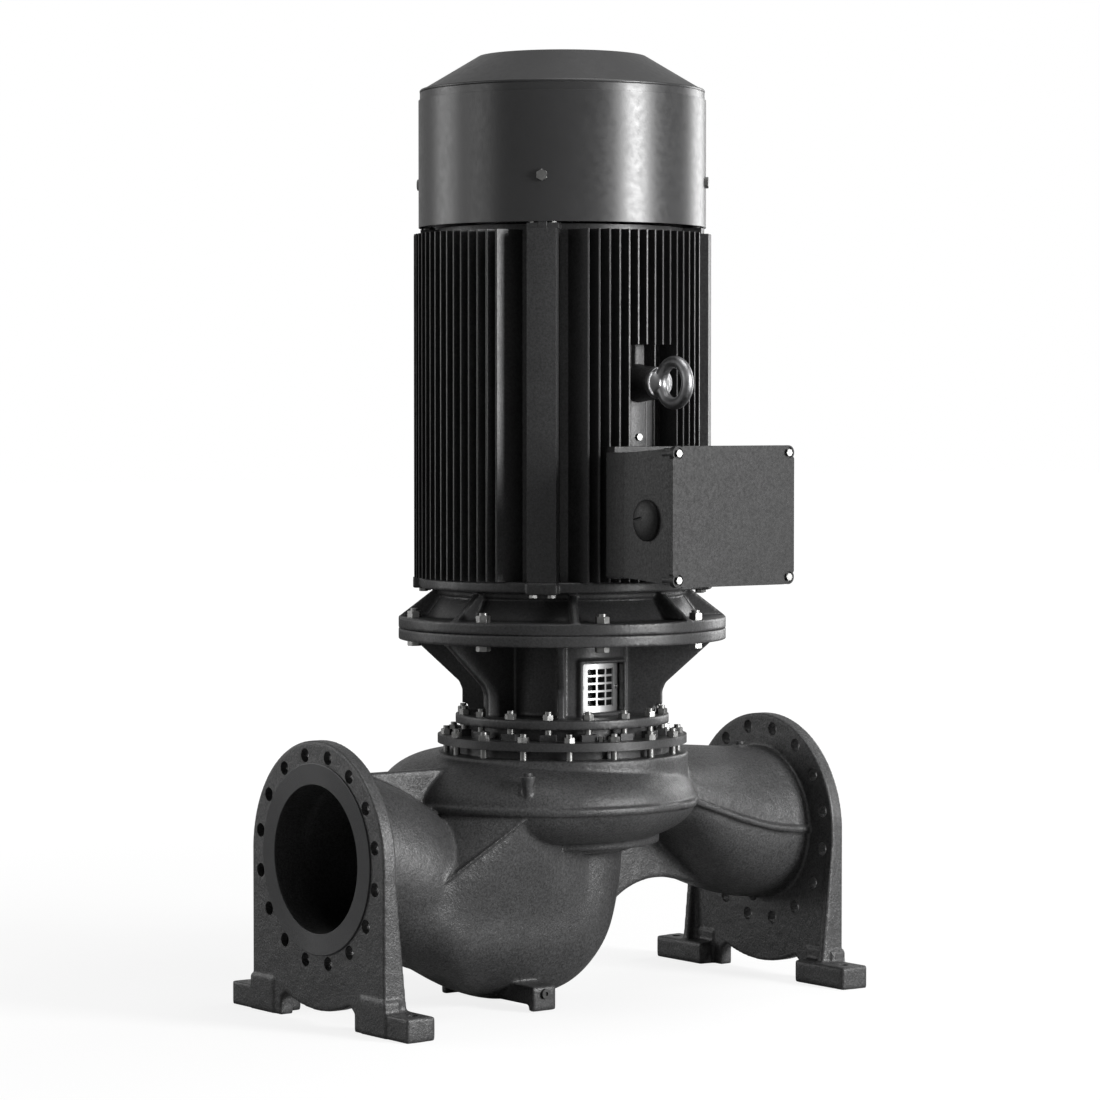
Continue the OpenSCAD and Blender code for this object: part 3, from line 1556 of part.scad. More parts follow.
// Terminal box with the neck that stands on the frame pad
module terminal_box() {
    y_front = lid_y - lid_t - gasket_t;
    color(black) on_shaft() difference() {
        union() {
            box_block(0, box_back_y, y_front);
            translate([-neck_w / 2, -box_back_y - bite, box_z - neck_h / 2])
                cube([neck_w, box_back_y - eye_boss_y + bite, neck_h]);
            box_lid_places() translate([0, 0, -lid_t - gasket_t - lid_boss_h])
                cylinder(r = lid_screw_boss, h = lid_boss_h);
        }
        box_block(-box_wall, box_back_y + box_wall, y_front + bite);
        translate([-cable_hole / 2, -box_back_y - 2 * box_wall, box_z - cable_hole / 2])
            cube([cable_hole, box_back_y - eye_boss_y + 3 * box_wall, cable_hole]);
        box_lid_places() translate([0, 0, -lid_screw_l - 2])
            cylinder(r = lid_screw_r + thread_slip, h = lid_screw_l + 4);
        entry_places() translate([0, 0, -2 * box_wall])
            cylinder(r = entry_hole_r, h = 4 * box_wall);
    }
}

// Corners of the lid where its screws stand, pointing outward
module box_lid_places() {
    for (x = [-1, 1], z = [-1, 1])
        translate([x * (box_w / 2 - lid_screw_in), -lid_y, box_z + z * (box_h / 2 - lid_screw_in)])
            rotate([90, 0, 0]) children();
}

// Outline of the lid with notched corners
module lid_outline() {
    round_rect(box_w, box_h - 2 * lid_ear, 6);
    round_rect(box_w - 2 * lid_ear, box_h, 6);
    for (x = [-1, 1], z = [-1, 1])
        translate([x * (box_w / 2 - lid_screw_in), z * (box_h / 2 - lid_screw_in)])
            circle(lid_screw_in);
}

module box_gasket() {
    color(rubber) on_shaft() translate([0, -lid_y + lid_t + gasket_t, box_z])
        rotate([90, 0, 0]) linear_extrude(gasket_t) difference() {
            round_rect(box_w - 2 * box_step - 2, box_h - 2 * box_step - 2, 6);
            round_rect(box_w - 2 * box_step - 2 * box_wall, box_h - 2 * box_step - 2 * box_wall, 4);
            for (x = [-1, 1], z = [-1, 1])
                translate([x * (box_w / 2 - lid_screw_in), z * (box_h / 2 - lid_screw_in)])
                    circle(lid_screw_r + 1);
        }
}

module box_lid() {
    color(black) on_shaft() difference() {
        translate([0, -lid_y + lid_t, box_z]) rotate([90, 0, 0])
            linear_extrude(lid_t) lid_outline();
        box_lid_places() {
            translate([0, 0, -lid_t - bite]) cylinder(r = lid_screw_r + 1, h = 2 * lid_t);
            translate([0, 0, -lid_recess]) cylinder(r = lid_screw_in - 4, h = lid_t);
        }
    }
}

module box_lid_screws() {
    color(zinc) on_shaft() box_lid_places() translate([0, 0, -lid_recess])
        hex_screw(lid_screw_af, lid_screw_head, lid_screw_r, lid_screw_l - lid_recess);
}

module terminal_board() {
    color([0.45, 0.12, 0.08]) on_shaft() difference() {
        translate([-board_w / 2, -box_back_y - box_wall - board_t, box_z - board_h / 2 - board_down])
            cube([board_w, board_t, board_h]);
        terminal_places() translate([0, 0, -board_t - bite])
            cylinder(r = terminal_r + thread_slip, h = board_t + 2 * bite);
    }
}

// Places of the six terminals on the board, pointing outward
module terminal_places() {
    for (x = [-1:1], z = [-1, 1])
        translate([x * terminal_pitch, -box_back_y - box_wall - board_t,
            box_z - board_down + z * terminal_pitch / 2]) rotate([90, 0, 0]) children();
}

module terminal_studs() {
    color(brass) on_shaft() terminal_places() {
        translate([0, 0, -board_t]) cylinder(r = terminal_r, h = board_t + terminal_up);
        hex_bar(terminal_r * 3.2, 9);
    }
}

// Two blanking plugs in the side of the terminal box
module cable_entry_plugs() {
    color(black) on_shaft() entry_places() difference() {
        union() {
            cylinder(r = entry_r, h = entry_h);
            translate([0, 0, entry_h - bite]) cylinder(r = entry_r - 5, h = entry_cap_h);
            translate([0, 0, -box_wall]) cylinder(r = entry_hole_r - run_gap, h = box_wall + bite);
        }
        translate([-entry_r, -entry_slot / 2, entry_h]) cube([2 * entry_r, entry_slot, entry_cap_h]);
    }
}

// Places of the cable entries on the side of the box, square to it
module entry_places() {
    lean = atan((box_taper - box_step) / (lid_y - lid_t - gasket_t - box_back_y));
    mid_y = (lid_y - lid_t - gasket_t + box_back_y) / 2;
    translate([-(box_w / 2 - (box_taper + box_step) / 2), -mid_y, box_z + entry_up])
        rotate([0, -90, -lean]) children();
}

// Lifting eyes on both sides of the frame
module eyebolts() {
    color(steel) on_shaft() for (k = [0, 1]) mirror([0, k, 0])
        translate([0, -eye_boss_y, eye_z]) rotate([90, 0, 0]) {
            cylinder(r = eye_collar_r, h = eye_collar_t);
            translate([0, 0, eye_collar_t - bite])
                cylinder(r1 = eye_collar_r - 5, r2 = eye_wire_r, h = eye_neck_h);
            translate([0, 0, -eye_stem + 4]) cylinder(r = eye_shank_r, h = eye_stem);
            translate([0, 0, eye_lift]) rotate([0, 90, 0]) rotate_extrude()
                translate([eye_ring_r, 0]) circle(eye_wire_r);
        }
}

module earth_screw() {
    color(brass) on_shaft() translate([0, -frame_r, earth_z]) rotate([90, 0, 0])
        hex_screw(earth_af, earth_head_h, earth_r, frame_wall - 6);
}

casing();
casing_wear_ring();
casing_plugs();
cover();
cover_seal_ring();
cover_studs();
cover_nuts();
vent_screw();
motor_stool();
stool_studs();
stool_nuts();
coupling_guards();
guard_grilles();
guard_screws();
seal_seat();
seal_face();
seal_bellows();
seal_collar();
pump_shaft();
impeller();
impeller_key();
impeller_nut();
coupling_halves();
coupling_screws();
motor_shaft();
shaft_key();
rotor_core();
rotor_end_rings();
stator_core();
stator_windings();
motor_frame();
drive_endshield();
fan_endshield();
endshield_screws();
drive_bearing_outer();
drive_bearing_inner();
drive_bearing_balls();
fan_bearing_outer();
fan_bearing_inner();
fan_bearing_balls();
bearing_caps();
preload_spring();
shaft_v_ring();
fan();
fan_circlip();
fan_cowl();
cowl_canopy();
cowl_screws();
motor_flange_bolts();
motor_flange_nuts();
terminal_box();
box_gasket();
box_lid();
box_lid_screws();
terminal_board();
terminal_studs();
cable_entry_plugs();
eyebolts();
earth_screw();
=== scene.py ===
"""Vertical in-line pump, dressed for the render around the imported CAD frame."""
import json
import math

import bmesh
import bpy
import numpy as np
from mathutils import Matrix, Vector


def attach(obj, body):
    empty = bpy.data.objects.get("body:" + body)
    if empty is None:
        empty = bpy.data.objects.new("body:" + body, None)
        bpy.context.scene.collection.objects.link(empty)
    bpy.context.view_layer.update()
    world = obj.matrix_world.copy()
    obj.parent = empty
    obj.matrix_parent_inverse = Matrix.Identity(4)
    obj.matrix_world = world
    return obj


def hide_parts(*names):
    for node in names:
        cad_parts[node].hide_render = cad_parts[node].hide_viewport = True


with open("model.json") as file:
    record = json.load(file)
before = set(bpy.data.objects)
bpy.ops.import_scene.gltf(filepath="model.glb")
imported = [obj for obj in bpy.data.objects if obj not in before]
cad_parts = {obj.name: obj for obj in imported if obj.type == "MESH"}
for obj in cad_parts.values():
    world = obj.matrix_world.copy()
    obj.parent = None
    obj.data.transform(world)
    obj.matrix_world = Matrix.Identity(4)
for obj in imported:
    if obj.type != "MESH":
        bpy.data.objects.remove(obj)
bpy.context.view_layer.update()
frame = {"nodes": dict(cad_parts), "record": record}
nodes = frame["nodes"]
MM = 0.001

# Places in the row frame, in millimetres: the shaft axis and the port axis
SHAFT_X = 25
PORT_Z = 385


# Camera, fitted to the rims and feet in the photograph: place in metres, angles in degrees
CAMERA_PLACE = (-5.5277, -7.3009, 1.4245)
CAMERA_DIP, CAMERA_TURN = 2.073, -37.069
CAMERA_LENS, CAMERA_SENSOR = 122.85, 36


def add_camera():
    data = bpy.data.cameras.new("photo_camera")
    data.lens = CAMERA_LENS
    data.sensor_width = CAMERA_SENSOR
    data.clip_start = 0.1
    data.clip_end = 200
    cam = bpy.data.objects.new("photo_camera", data)
    cam.location = CAMERA_PLACE
    cam.rotation_euler = (math.radians(90 - CAMERA_DIP), 0, math.radians(CAMERA_TURN))
    bpy.context.scene.collection.objects.link(cam)
    bpy.context.scene.camera = cam


# Materials
class Shader:
    """A Principled material with a few helpers for its node tree."""

    def __init__(self, name, colour, rough, metal=0.0):
        self.mat = bpy.data.materials.new(name)
        self.mat.use_nodes = True
        self.tree = self.mat.node_tree
        self.bsdf = self.tree.nodes["Principled BSDF"]
        self.bsdf.inputs["Base Color"].default_value = (*colour, 1)
        self.bsdf.inputs["Roughness"].default_value = rough
        self.bsdf.inputs["Metallic"].default_value = metal
        self.colour, self.rough = colour, rough
        self.coords = self.node("ShaderNodeTexCoord").outputs["Object"]
        self.normal = None

    def node(self, kind, **values):
        n = self.tree.nodes.new(kind)
        for key, value in values.items():
            setattr(n, key, value)
        return n

    def link(self, a, b):
        self.tree.links.new(a, b)

    def noise(self, scale, detail=3, rough=0.5, stretch=None):
        """Noise in metres; stretch scales the coordinates on each axis."""
        n = self.node("ShaderNodeTexNoise")
        n.inputs["Scale"].default_value = scale
        n.inputs["Detail"].default_value = detail
        n.inputs["Roughness"].default_value = rough
        source = self.coords
        if stretch:
            m = self.node("ShaderNodeMapping")
            m.inputs["Scale"].default_value = stretch
            self.link(source, m.inputs["Vector"])
            source = m.outputs["Vector"]
        self.link(source, n.inputs["Vector"])
        return n.outputs["Fac"]

    def ramp(self, fac, low, high, a=0.0, b=1.0):
        n = self.node("ShaderNodeMapRange")
        n.inputs["From Min"].default_value = a
        n.inputs["From Max"].default_value = b
        n.inputs["To Min"].default_value = low
        n.inputs["To Max"].default_value = high
        self.link(fac, n.inputs["Value"])
        return n.outputs["Result"]

    def tint(self, fac, dark, light, a=0.3, b=0.7):
        """Colour between two shades, driven by a texture."""
        mix = self.node("ShaderNodeMix", data_type="RGBA")
        mix.inputs["A"].default_value = (*dark, 1)
        mix.inputs["B"].default_value = (*light, 1)
        self.link(self.ramp(fac, 0, 1, a, b), mix.inputs["Factor"])
        self.link(mix.outputs["Result"], self.bsdf.inputs["Base Color"])
        return self

    def speckle(self, broad, fine, colour, amount):
        """Broad drift of shade times a fine one."""
        drift = self.ramp(broad, 0.84, 1.16, 0.3, 0.7)
        spot = self.ramp(fine, 1 - amount, 1 + 1.6 * amount, 0.32, 0.72)
        level = self.node("ShaderNodeMath", operation="MULTIPLY")
        self.link(drift, level.inputs[0])
        self.link(spot, level.inputs[1])
        mix = self.node("ShaderNodeVectorMath", operation="SCALE")
        mix.inputs[0].default_value = colour
        self.link(level.outputs[0], mix.inputs["Scale"])
        self.link(mix.outputs["Vector"], self.bsdf.inputs["Base Color"])
        return self

    def roughen(self, fac, low, high, a=0.3, b=0.7):
        self.link(self.ramp(fac, low, high, a, b), self.bsdf.inputs["Roughness"])
        return self

    def bump(self, fac, height):
        """Adds a bump whose height is in metres, over the ones before it."""
        n = self.node("ShaderNodeBump")
        n.inputs["Distance"].default_value = height
        n.inputs["Strength"].default_value = 1.0
        self.link(fac, n.inputs["Height"])
        if self.normal:
            self.link(self.normal, n.inputs["Normal"])
        self.normal = n.outputs["Normal"]
        self.link(self.normal, self.bsdf.inputs["Normal"])
        return self

    def soften(self, radius):
        """Rounds hard edges in the shading by a small radius in metres."""
        n = self.node("ShaderNodeBevel", samples=3)
        n.inputs["Radius"].default_value = radius
        self.normal = n.outputs["Normal"]
        self.link(self.normal, self.bsdf.inputs["Normal"])
        return self


def shade(colour, factor):
    """Colour times a factor, kept below white."""
    return tuple(min(1, c * factor) for c in colour)


def cast_paint(name, colour, grain, rough, speck, gloss=0.42):
    """Satin paint over a sand-cast skin: broad waves, grain in metres and speckle."""
    s = Shader(name, colour, rough).soften(0.0015)
    grainy = s.noise(190, 3, 0.7)
    s.speckle(s.noise(6, 4), grainy, colour, speck)
    s.roughen(grainy, rough + 0.12, rough - 0.12)
    s.bump(s.noise(22, 3), grain * 2.5)
    s.bump(grainy, grain)
    s.bump(s.noise(520, 2, 0.6), grain * 0.35)
    s.bsdf.inputs["Specular IOR Level"].default_value = gloss
    return s.mat


def smooth_paint(name, colour, rough):
    """Sprayed paint on machined metal or sheet, with a fine orange peel."""
    s = Shader(name, colour, rough).soften(0.001)
    s.tint(s.noise(5, 3), shade(colour, 0.92), shade(colour, 1.08))
    s.roughen(s.noise(60, 3), rough - 0.04, rough + 0.05)
    s.bump(s.noise(700, 2), 0.00006)
    return s.mat


def plated(name, colour, rough, scratch=0.00002):
    """Bright plated or turned metal with fine wear."""
    s = Shader(name, colour, rough, 1.0).soften(0.0006)
    s.tint(s.noise(40, 3), shade(colour, 0.78), shade(colour, 1.08))
    s.roughen(s.noise(160, 3), rough - 0.08, rough + 0.14)
    s.bump(s.noise(1500, 2), scratch)
    return s.mat


def brushed(name, colour, rough, stretch):
    """Metal with fine lines drawn along one axis."""
    s = Shader(name, colour, rough, 1.0)
    lines = s.noise(60, 4, 0.7, stretch)
    s.tint(lines, shade(colour, 0.85), shade(colour, 1.06))
    s.roughen(lines, rough - 0.05, rough + 0.1)
    s.bump(lines, 0.00002)
    return s.mat


def plain(name, colour, rough, metal=0.0):
    """Rough casting, laminate, rubber or plastic without paint."""
    s = Shader(name, colour, rough, metal)
    s.tint(s.noise(30, 4), shade(colour, 0.85), shade(colour, 1.15))
    s.roughen(s.noise(120, 3), rough - 0.06, rough + 0.08)
    s.bump(s.noise(500, 2), 0.00004)
    return s.mat


def turned(name, colour, rough, pitch):
    """Painted face turned on a lathe round the port axis: fine concentric grooves."""
    s = Shader(name, colour, rough)
    split = s.node("ShaderNodeSeparateXYZ")
    s.link(s.coords, split.inputs["Vector"])
    level = s.node("ShaderNodeMath", operation="SUBTRACT")
    s.link(split.outputs["Z"], level.inputs[0])
    level.inputs[1].default_value = PORT_Z * MM
    flat = s.node("ShaderNodeCombineXYZ")
    s.link(split.outputs["Y"], flat.inputs["X"])
    s.link(level.outputs[0], flat.inputs["Y"])
    dist = s.node("ShaderNodeVectorMath", operation="LENGTH")
    s.link(flat.outputs["Vector"], dist.inputs[0])
    wave = s.node("ShaderNodeMath", operation="SINE")
    scaled = s.node("ShaderNodeMath", operation="MULTIPLY")
    s.link(dist.outputs["Value"], scaled.inputs[0])
    scaled.inputs[1].default_value = 2 * math.pi / pitch
    s.link(scaled.outputs[0], wave.inputs[0])
    s.tint(s.noise(18, 3), shade(colour, 0.9), shade(colour, 1.1))
    s.bump(wave.outputs[0], 0.00035)
    s.bump(s.noise(400, 2), 0.00004)
    return s.mat


CAST = cast_paint("cast_paint", (0.036, 0.036, 0.0365), 0.0011, 0.38, 0.62)
STOOL = cast_paint("stool_paint", (0.029, 0.029, 0.0295), 0.0004, 0.42, 0.4)
FRAME = cast_paint("frame_paint", (0.027, 0.027, 0.0275), 0.0004, 0.40, 0.4)
SHEET = smooth_paint("sheet_paint", (0.024, 0.024, 0.0245), 0.33)
BOX = cast_paint("box_paint", (0.0125, 0.0125, 0.0127), 0.0002, 0.50, 0.22, 0.24)
ZINC = plated("zinc", (0.27, 0.27, 0.265), 0.36)
STEEL = plated("forged_steel", (0.26, 0.26, 0.265), 0.38, 0.00006)
SHAFT = plated("turned_steel", (0.55, 0.56, 0.57), 0.22)
STAINLESS = brushed("stainless", (0.36, 0.36, 0.36), 0.42, (1, 1, 30))
BRASS = plated("brass", (0.70, 0.54, 0.28), 0.28)
BRONZE = plain("bronze", (0.50, 0.33, 0.16), 0.42, 1.0)
COPPER = plain("copper", (0.55, 0.25, 0.12), 0.45, 0.6)
IRON = plain("iron", (0.20, 0.20, 0.21), 0.48, 0.8)
RUBBER = plain("rubber", (0.018, 0.018, 0.019), 0.65)
CARBON = plain("carbon", (0.03, 0.03, 0.032), 0.35)
BOARD = plain("board", (0.22, 0.06, 0.04), 0.5)
FAN = plain("fan_plastic", (0.03, 0.03, 0.032), 0.5)
ALUMINIUM = plain("aluminium", (0.65, 0.66, 0.67), 0.4, 1.0)
FACE = turned("machined_face", (0.036, 0.0365, 0.038), 0.42, 0.0022)

SLOTS = {
    "cast_black": STOOL, "motor_black": FRAME, "sheet_black": SHEET, "zinc": ZINC,
    "steel": SHAFT, "stainless": STAINLESS, "iron": IRON, "bronze": BRONZE,
    "brass": BRASS, "copper": COPPER, "aluminium": ALUMINIUM, "rubber": RUBBER,
    "carbon": CARBON, "board": BOARD, "fan_plastic": FAN,
}


def dress(obj, material):
    """Gives an object one material."""
    obj.data.materials.clear()
    obj.data.materials.append(material)


def dress_cad():
    """Every CAD node gets the finish of its slot, and smooth round faces."""
    for part in frame["record"]["subparts"]:
        obj = nodes[part["node"]]
        dress(obj, SLOTS[part["material_slot"]])
        smooth(obj)
    for name in ("terminal_box", "box_lid", "cable_entry_plugs"):
        dress(nodes[name], BOX)
    for name in ("vent_screw", "earth_screw"):
        dress(nodes[name], ZINC)
    dress(nodes["eyebolts"], STEEL)
    dress(nodes["casing_plugs"], STOOL)
    dress(nodes["coupling_halves"], SHAFT)


def smooth(obj, angle=32):
    """Smooth shading with hard edges kept above an angle."""
    mesh = obj.data
    mesh.shade_smooth()
    bm = bmesh.new()
    bm.from_mesh(mesh)
    limit = math.radians(angle)
    for e in bm.edges:
        e.smooth = len(e.link_faces) == 2 and e.calc_face_angle(0) < limit
    bm.to_mesh(mesh)
    bm.free()


# Meshes
def new_object(name, bm, material, body="stator", stands_for=()):
    """Object in the row frame from a bmesh in millimetres."""
    bm.transform(Matrix.Scale(MM, 4))
    mesh = bpy.data.meshes.new(name)
    bm.to_mesh(mesh)
    bm.free()
    obj = bpy.data.objects.new(name, mesh)
    bpy.context.scene.collection.objects.link(obj)
    mesh.materials.append(material)
    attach(obj, body)
    if stands_for:
        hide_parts(*stands_for)
    return obj


def apply_all(obj):
    """Applies the object's modifiers to its mesh."""
    deps = bpy.context.evaluated_depsgraph_get()
    mesh = bpy.data.meshes.new_from_object(obj.evaluated_get(deps))
    obj.modifiers.clear()
    obj.data = mesh


def add_loft(bm, rings):
    """Closed skin over rings of points with equal counts."""
    rows = [[bm.verts.new(p) for p in ring] for ring in rings]
    n = len(rows[0])
    for a, b in zip(rows, rows[1:]):
        for j in range(n):
            k = (j + 1) % n
            bm.faces.new((a[j], a[k], b[k], b[j]))
    bm.faces.new(rows[0][::-1])
    bm.faces.new(rows[-1])


def add_lathe(bm, profile, centre=(SHAFT_X, 0, PORT_Z), steps=128, start=0.0, sweep=360.0):
    """Closed profile of (radius, height) turned round a vertical axis, by degrees."""
    full = sweep >= 360
    count = steps if full else max(3, int(steps * sweep / 360)) + 1
    rows = []
    for i in range(count):
        a = math.radians(start + sweep * i / (steps if full else count - 1))
        c, s = math.cos(a), math.sin(a)
        rows.append([
            bm.verts.new((centre[0] + r * c, centre[1] + r * s, centre[2] + z))
            for r, z in profile
        ])
    m = len(profile)
    last = count if full else count - 1
    for i in range(last):
        a, b = rows[i], rows[(i + 1) % count]
        for j in range(m):
            k = (j + 1) % m
            bm.faces.new((a[j], b[j], b[k], a[k]))
    if not full:
        bm.faces.new(rows[0][::-1])
        bm.faces.new(rows[-1])


def add_prism(bm, outline, place, depth):
    """Outline extruded along a matrix's z axis by a depth."""
    a = [bm.verts.new(place @ Vector((x, y, 0))) for x, y in outline]
    b = [bm.verts.new(place @ Vector((x, y, depth))) for x, y in outline]
    n = len(a)
    for j in range(n):
        k = (j + 1) % n
        bm.faces.new((a[j], a[k], b[k], b[j]))
    bm.faces.new(a[::-1])
    bm.faces.new(b)


def tidy_normals(bm):
    bmesh.ops.recalc_face_normals(bm, faces=bm.faces)


# How far a vertex moves towards its neighbours' middle in one round of smoothing
RELAX = 0.5


def soften_casting(name, voxel, rounds):
    """Rounds the edges of a cast node by modifiers and leaves its mesh alone."""
    obj = nodes[name]
    remesh = obj.modifiers.new("skin", "REMESH")
    remesh.mode = "VOXEL"
    remesh.voxel_size = voxel
    remesh.use_smooth_shade = True
    relax = obj.modifiers.new("relax", "SMOOTH")
    relax.factor = RELAX
    relax.iterations = rounds


def round_edges(name, width):
    """Bevels the sharp edges of a plain node by modifiers."""
    obj = nodes[name]
    weld = obj.modifiers.new("weld", "WELD")
    weld.merge_threshold = 0.00005
    bevel = obj.modifiers.new("bevel", "BEVEL")
    bevel.width = width
    bevel.segments = 3
    bevel.limit_method = "ANGLE"
    bevel.angle_limit = math.radians(40)
    bevel.harden_normals = True


# Casing, on the stations of the CAD source
def bend(p, i, t):
    """Smooth curve through the rows of p, at a share t of the way from row i."""
    n = len(p) - 1
    a, b, c, d = (p[max(i - 1, 0)], p[i], p[min(i + 1, n)], p[min(i + 2, n)])
    return [
        q + 0.5 * t * ((r - o) + t * ((2 * o - 5 * q + 4 * r - s) + t * (3 * (q - r) + s - o)))
        for o, q, r, s in zip(a, b, c, d)
    ]


def fill(p, steps):
    """Rows of p with steps of the smooth curve between each two."""
    out = [bend(p, i, k / steps) for i in range(len(p) - 1) for k in range(steps)]
    return out + [list(p[-1])]


def oval(a, b, n, t):
    """Point of a superellipse with half axes a and b; n is 2 for an ellipse."""
    c, s = math.cos(t), math.sin(t)
    return (
        math.copysign(a * abs(c) ** (2 / n), c),
        math.copysign(b * abs(s) ** (2 / n), s),
    )


# Suction neck and sump: x, z, tilt in degrees, half height, half width, wall
NECK = [
    (-690, 0, 0, 203, 203, 30), (-610, -12, -12, 198, 200, 26),
    (-510, -58, -26, 187, 196, 20), (-450, -95, -27, 168, 176, 18),
    (-405, -112, -27, 148, 124, 18), (-372, -128, -27, 118, 72, 18),
    (-345, -150, -27, 80, 36, 18),
]
SUMP = [
    (-610, -60, -12, 150, 175, 24), (-550, -105, -24, 130, 184, 20),
    (-480, -150, -27, 112, 190, 18), (-430, -190, -20, 95, 190, 18),
    (-390, -215, -10, 85, 180, 18),
]
# Elbow under the impeller: z, centre x and radius, nose x and radius
ELBOW = [
    (-378, -150, 35, -215, 20), (-357, -115, 84, -285, 50),
    (-325, -86, 114, -350, 90), (-275, -60, 136, -420, 140),
    (-230, -45, 149, -460, 178), (-180, -30, 152, -480, 186),
    (-130, -15, 149, -470, 176), (-108, -8, 148, -420, 100),
    (-85, -3, 147, -362, 40), (-60, 0, 147, -316, 20),
    (0, 0, 147, -224, 20), (40, 0, 147, -162, 20),
]
# Discharge nozzle and its water way: x, y from and to, z from and to, squareness
NOZZLE = [
    (150, -190, 470, 15, 205, 2.4), (250, -196, 425, 8, 206, 2.6),
    (320, -197, 375, -55, 206, 2.6), (390, -196, 325, -112, 205, 2.5),
    (460, -194, 275, -155, 202, 2.3), (540, -192, 225, -182, 197, 2.1),
    (640, -192, 192, -192, 192, 2),
]
PASSAGE = [
    (110, 285, 455, 33, 187, 2.2), (250, 120, 408, 28, 188, 2.2),
    (320, -50, 357, -35, 188, 2.2), (390, -140, 307, -92, 187, 2.2),
    (460, -168, 257, -135, 184, 2.1), (540, -173, 207, -160, 179, 2),
    (645, -174, 174, -174, 174, 2),
]


def cal(x, y, z):
    """Point given from the crossing of shaft and port axis, in the row frame."""
    return Vector((x + SHAFT_X, y, z + PORT_Z))


def neck_ring(s, share, n):
    """Section of the neck or sump, inset by a share of its wall."""
    inset, tilt = share * s[5], math.radians(s[2])
    up = Vector((-math.sin(tilt), 0, math.cos(tilt)))
    ring = []
    for j in range(n):
        w, v = oval(s[4] - inset, s[3] - inset, 2, 2 * math.pi * j / n)
        ring.append(cal(s[0], w, s[1]) + v * up)
    return ring


def elbow_ring(s, inset, arc=40, flat=16):
    """Section of the elbow: two circles and the straight sides between them."""
    z, c, r, t, w = s
    r, w, t = r - inset, max(w - inset, 4), t + 2 * inset
    turn = math.acos(max(min((r - w) / (c - t), 0.98), -0.98))
    a = Vector((c - r * math.cos(turn), r * math.sin(turn)))
    b = Vector((t - w * math.cos(turn), w * math.sin(turn)))
    ring = []
    for j in range(arc + 1):
        e = (math.pi - turn) * (2 * j / arc - 1)
        ring.append(cal(c + r * math.cos(e), r * math.sin(e), z))
    side = [a + (b - a) * j / flat for j in range(1, flat + 1)]
    ring += [cal(p.x, p.y, z) for p in side]
    ring += [cal(p.x, -p.y, z) for p in reversed(side)]
    return ring


def nozzle_ring(s, n):
    """Section of the nozzle, square to the pipe."""
    ring = []
    for j in range(n):
        w, v = oval((s[2] - s[1]) / 2, (s[4] - s[3]) / 2, s[5], 2 * math.pi * j / n)
        ring.append(cal(s[0], (s[1] + s[2]) / 2 + w, (s[3] + s[4]) / 2 + v))
    return ring


# Volute: radius of its first arc and what each arc adds, its height and section
VOLUTE_R, VOLUTE_STEP, VOLUTE_Z = 332, 65, 103
VOLUTE_UP, VOLUTE_DOWN, VOLUTE_HALF = 109, 90, 150
VOLUTE_SQUARE = 1.85

# Ports, their plates and bolts
WALL = 18
FLANGE_R, FLANGE_T, FACE_H, FACE_R = 277.5, 36, 4, 225
PORT_X, PORT_R, BOLT_R, BOLT_HOLE, BOLTS = 700, 175, 245, 16.5, 16
PLATE_X = PORT_X - FACE_H

# Feet, the arch between them and the plate's belly
FOOT_W, FOOT_L, FOOT_H, FOOT_OUT = 80, 185, 56, 370
FOOT_HOLE_X, FOOT_HOLE_Y, FOOT_HOLE = PLATE_X - 43, 330, 12
LEDGE_L, LEDGE_H, LEDGE_BEVEL = 100, 28, 4
ARCH_HALF, ARCH_Z, ARCH_FILLET, BELLY_R, BELLY_HALF = 154.5, -331, 30, 355, 150
WING_T, WING_IN, WING_OUT = 20, 4, -30
MID_FOOT_X, MID_FOOT_L, MID_FOOT_W = -171, 380, 70

# Webs along the centre line, with the arch in the discharge one
WEB_T, WEB_Z = 26, 194
WEB_ARCH_X, WEB_ARCH_Z, WEB_ARCH_R = 290, -338, 221

# Rings of the casting: the cover's rim, the pad under it and the impeller's eye
RIM_R, PAD_R, EYE_R = 308, 238, 171

# Tapped boss on the volute, plug boss and drain nub on the nozzle
TAP_TURN, TAP_R, TAP_Z, TAP_H = -139.5, 384, 190, 49
TAP_TIP, TAP_TOP = 9, 20
PLUG_X, PLUG_R, NUB_X, NUB_R = 567, 17, 612, 9


def volute_profile(r, inset):
    """Half section of the volute out to a radius, as (radius, height)."""
    half, up, down = VOLUTE_HALF - inset, VOLUTE_UP - inset, VOLUTE_DOWN - inset
    quarter = math.pi / 2
    rim = [oval(half, up, VOLUTE_SQUARE, quarter * (1 - i / 20)) for i in range(21)]
    rim += [oval(half, down, VOLUTE_SQUARE, -quarter * i / 20) for i in range(1, 21)]
    pts = [(2, VOLUTE_Z - down), (2, VOLUTE_Z + up)]
    return pts + [(r - VOLUTE_HALF + x, VOLUTE_Z + z) for x, z in rim]


def volute_arcs():
    """Centre, start and sweep of each arc of the volute."""
    s = VOLUTE_STEP / 2
    return [(-s, -s, -90, 90), (-s, s, -180, 90), (s, s, 90, 90), (s, -s, 72, 18)]


def add_volute(bm, inset):
    """The volute's arcs, each reaching further out than the last."""
    for i, (x, y, start, sweep) in enumerate(volute_arcs()):
        add_lathe(bm, volute_profile(VOLUTE_R + i * VOLUTE_STEP, inset),
                  (SHAFT_X + x, y, PORT_Z), 180, start, sweep)


def add_drum(bm, r, low, high):
    """Round solid on the shaft axis."""
    add_lathe(bm, [(1, low), (r, low), (r, high), (1, high)], steps=180)


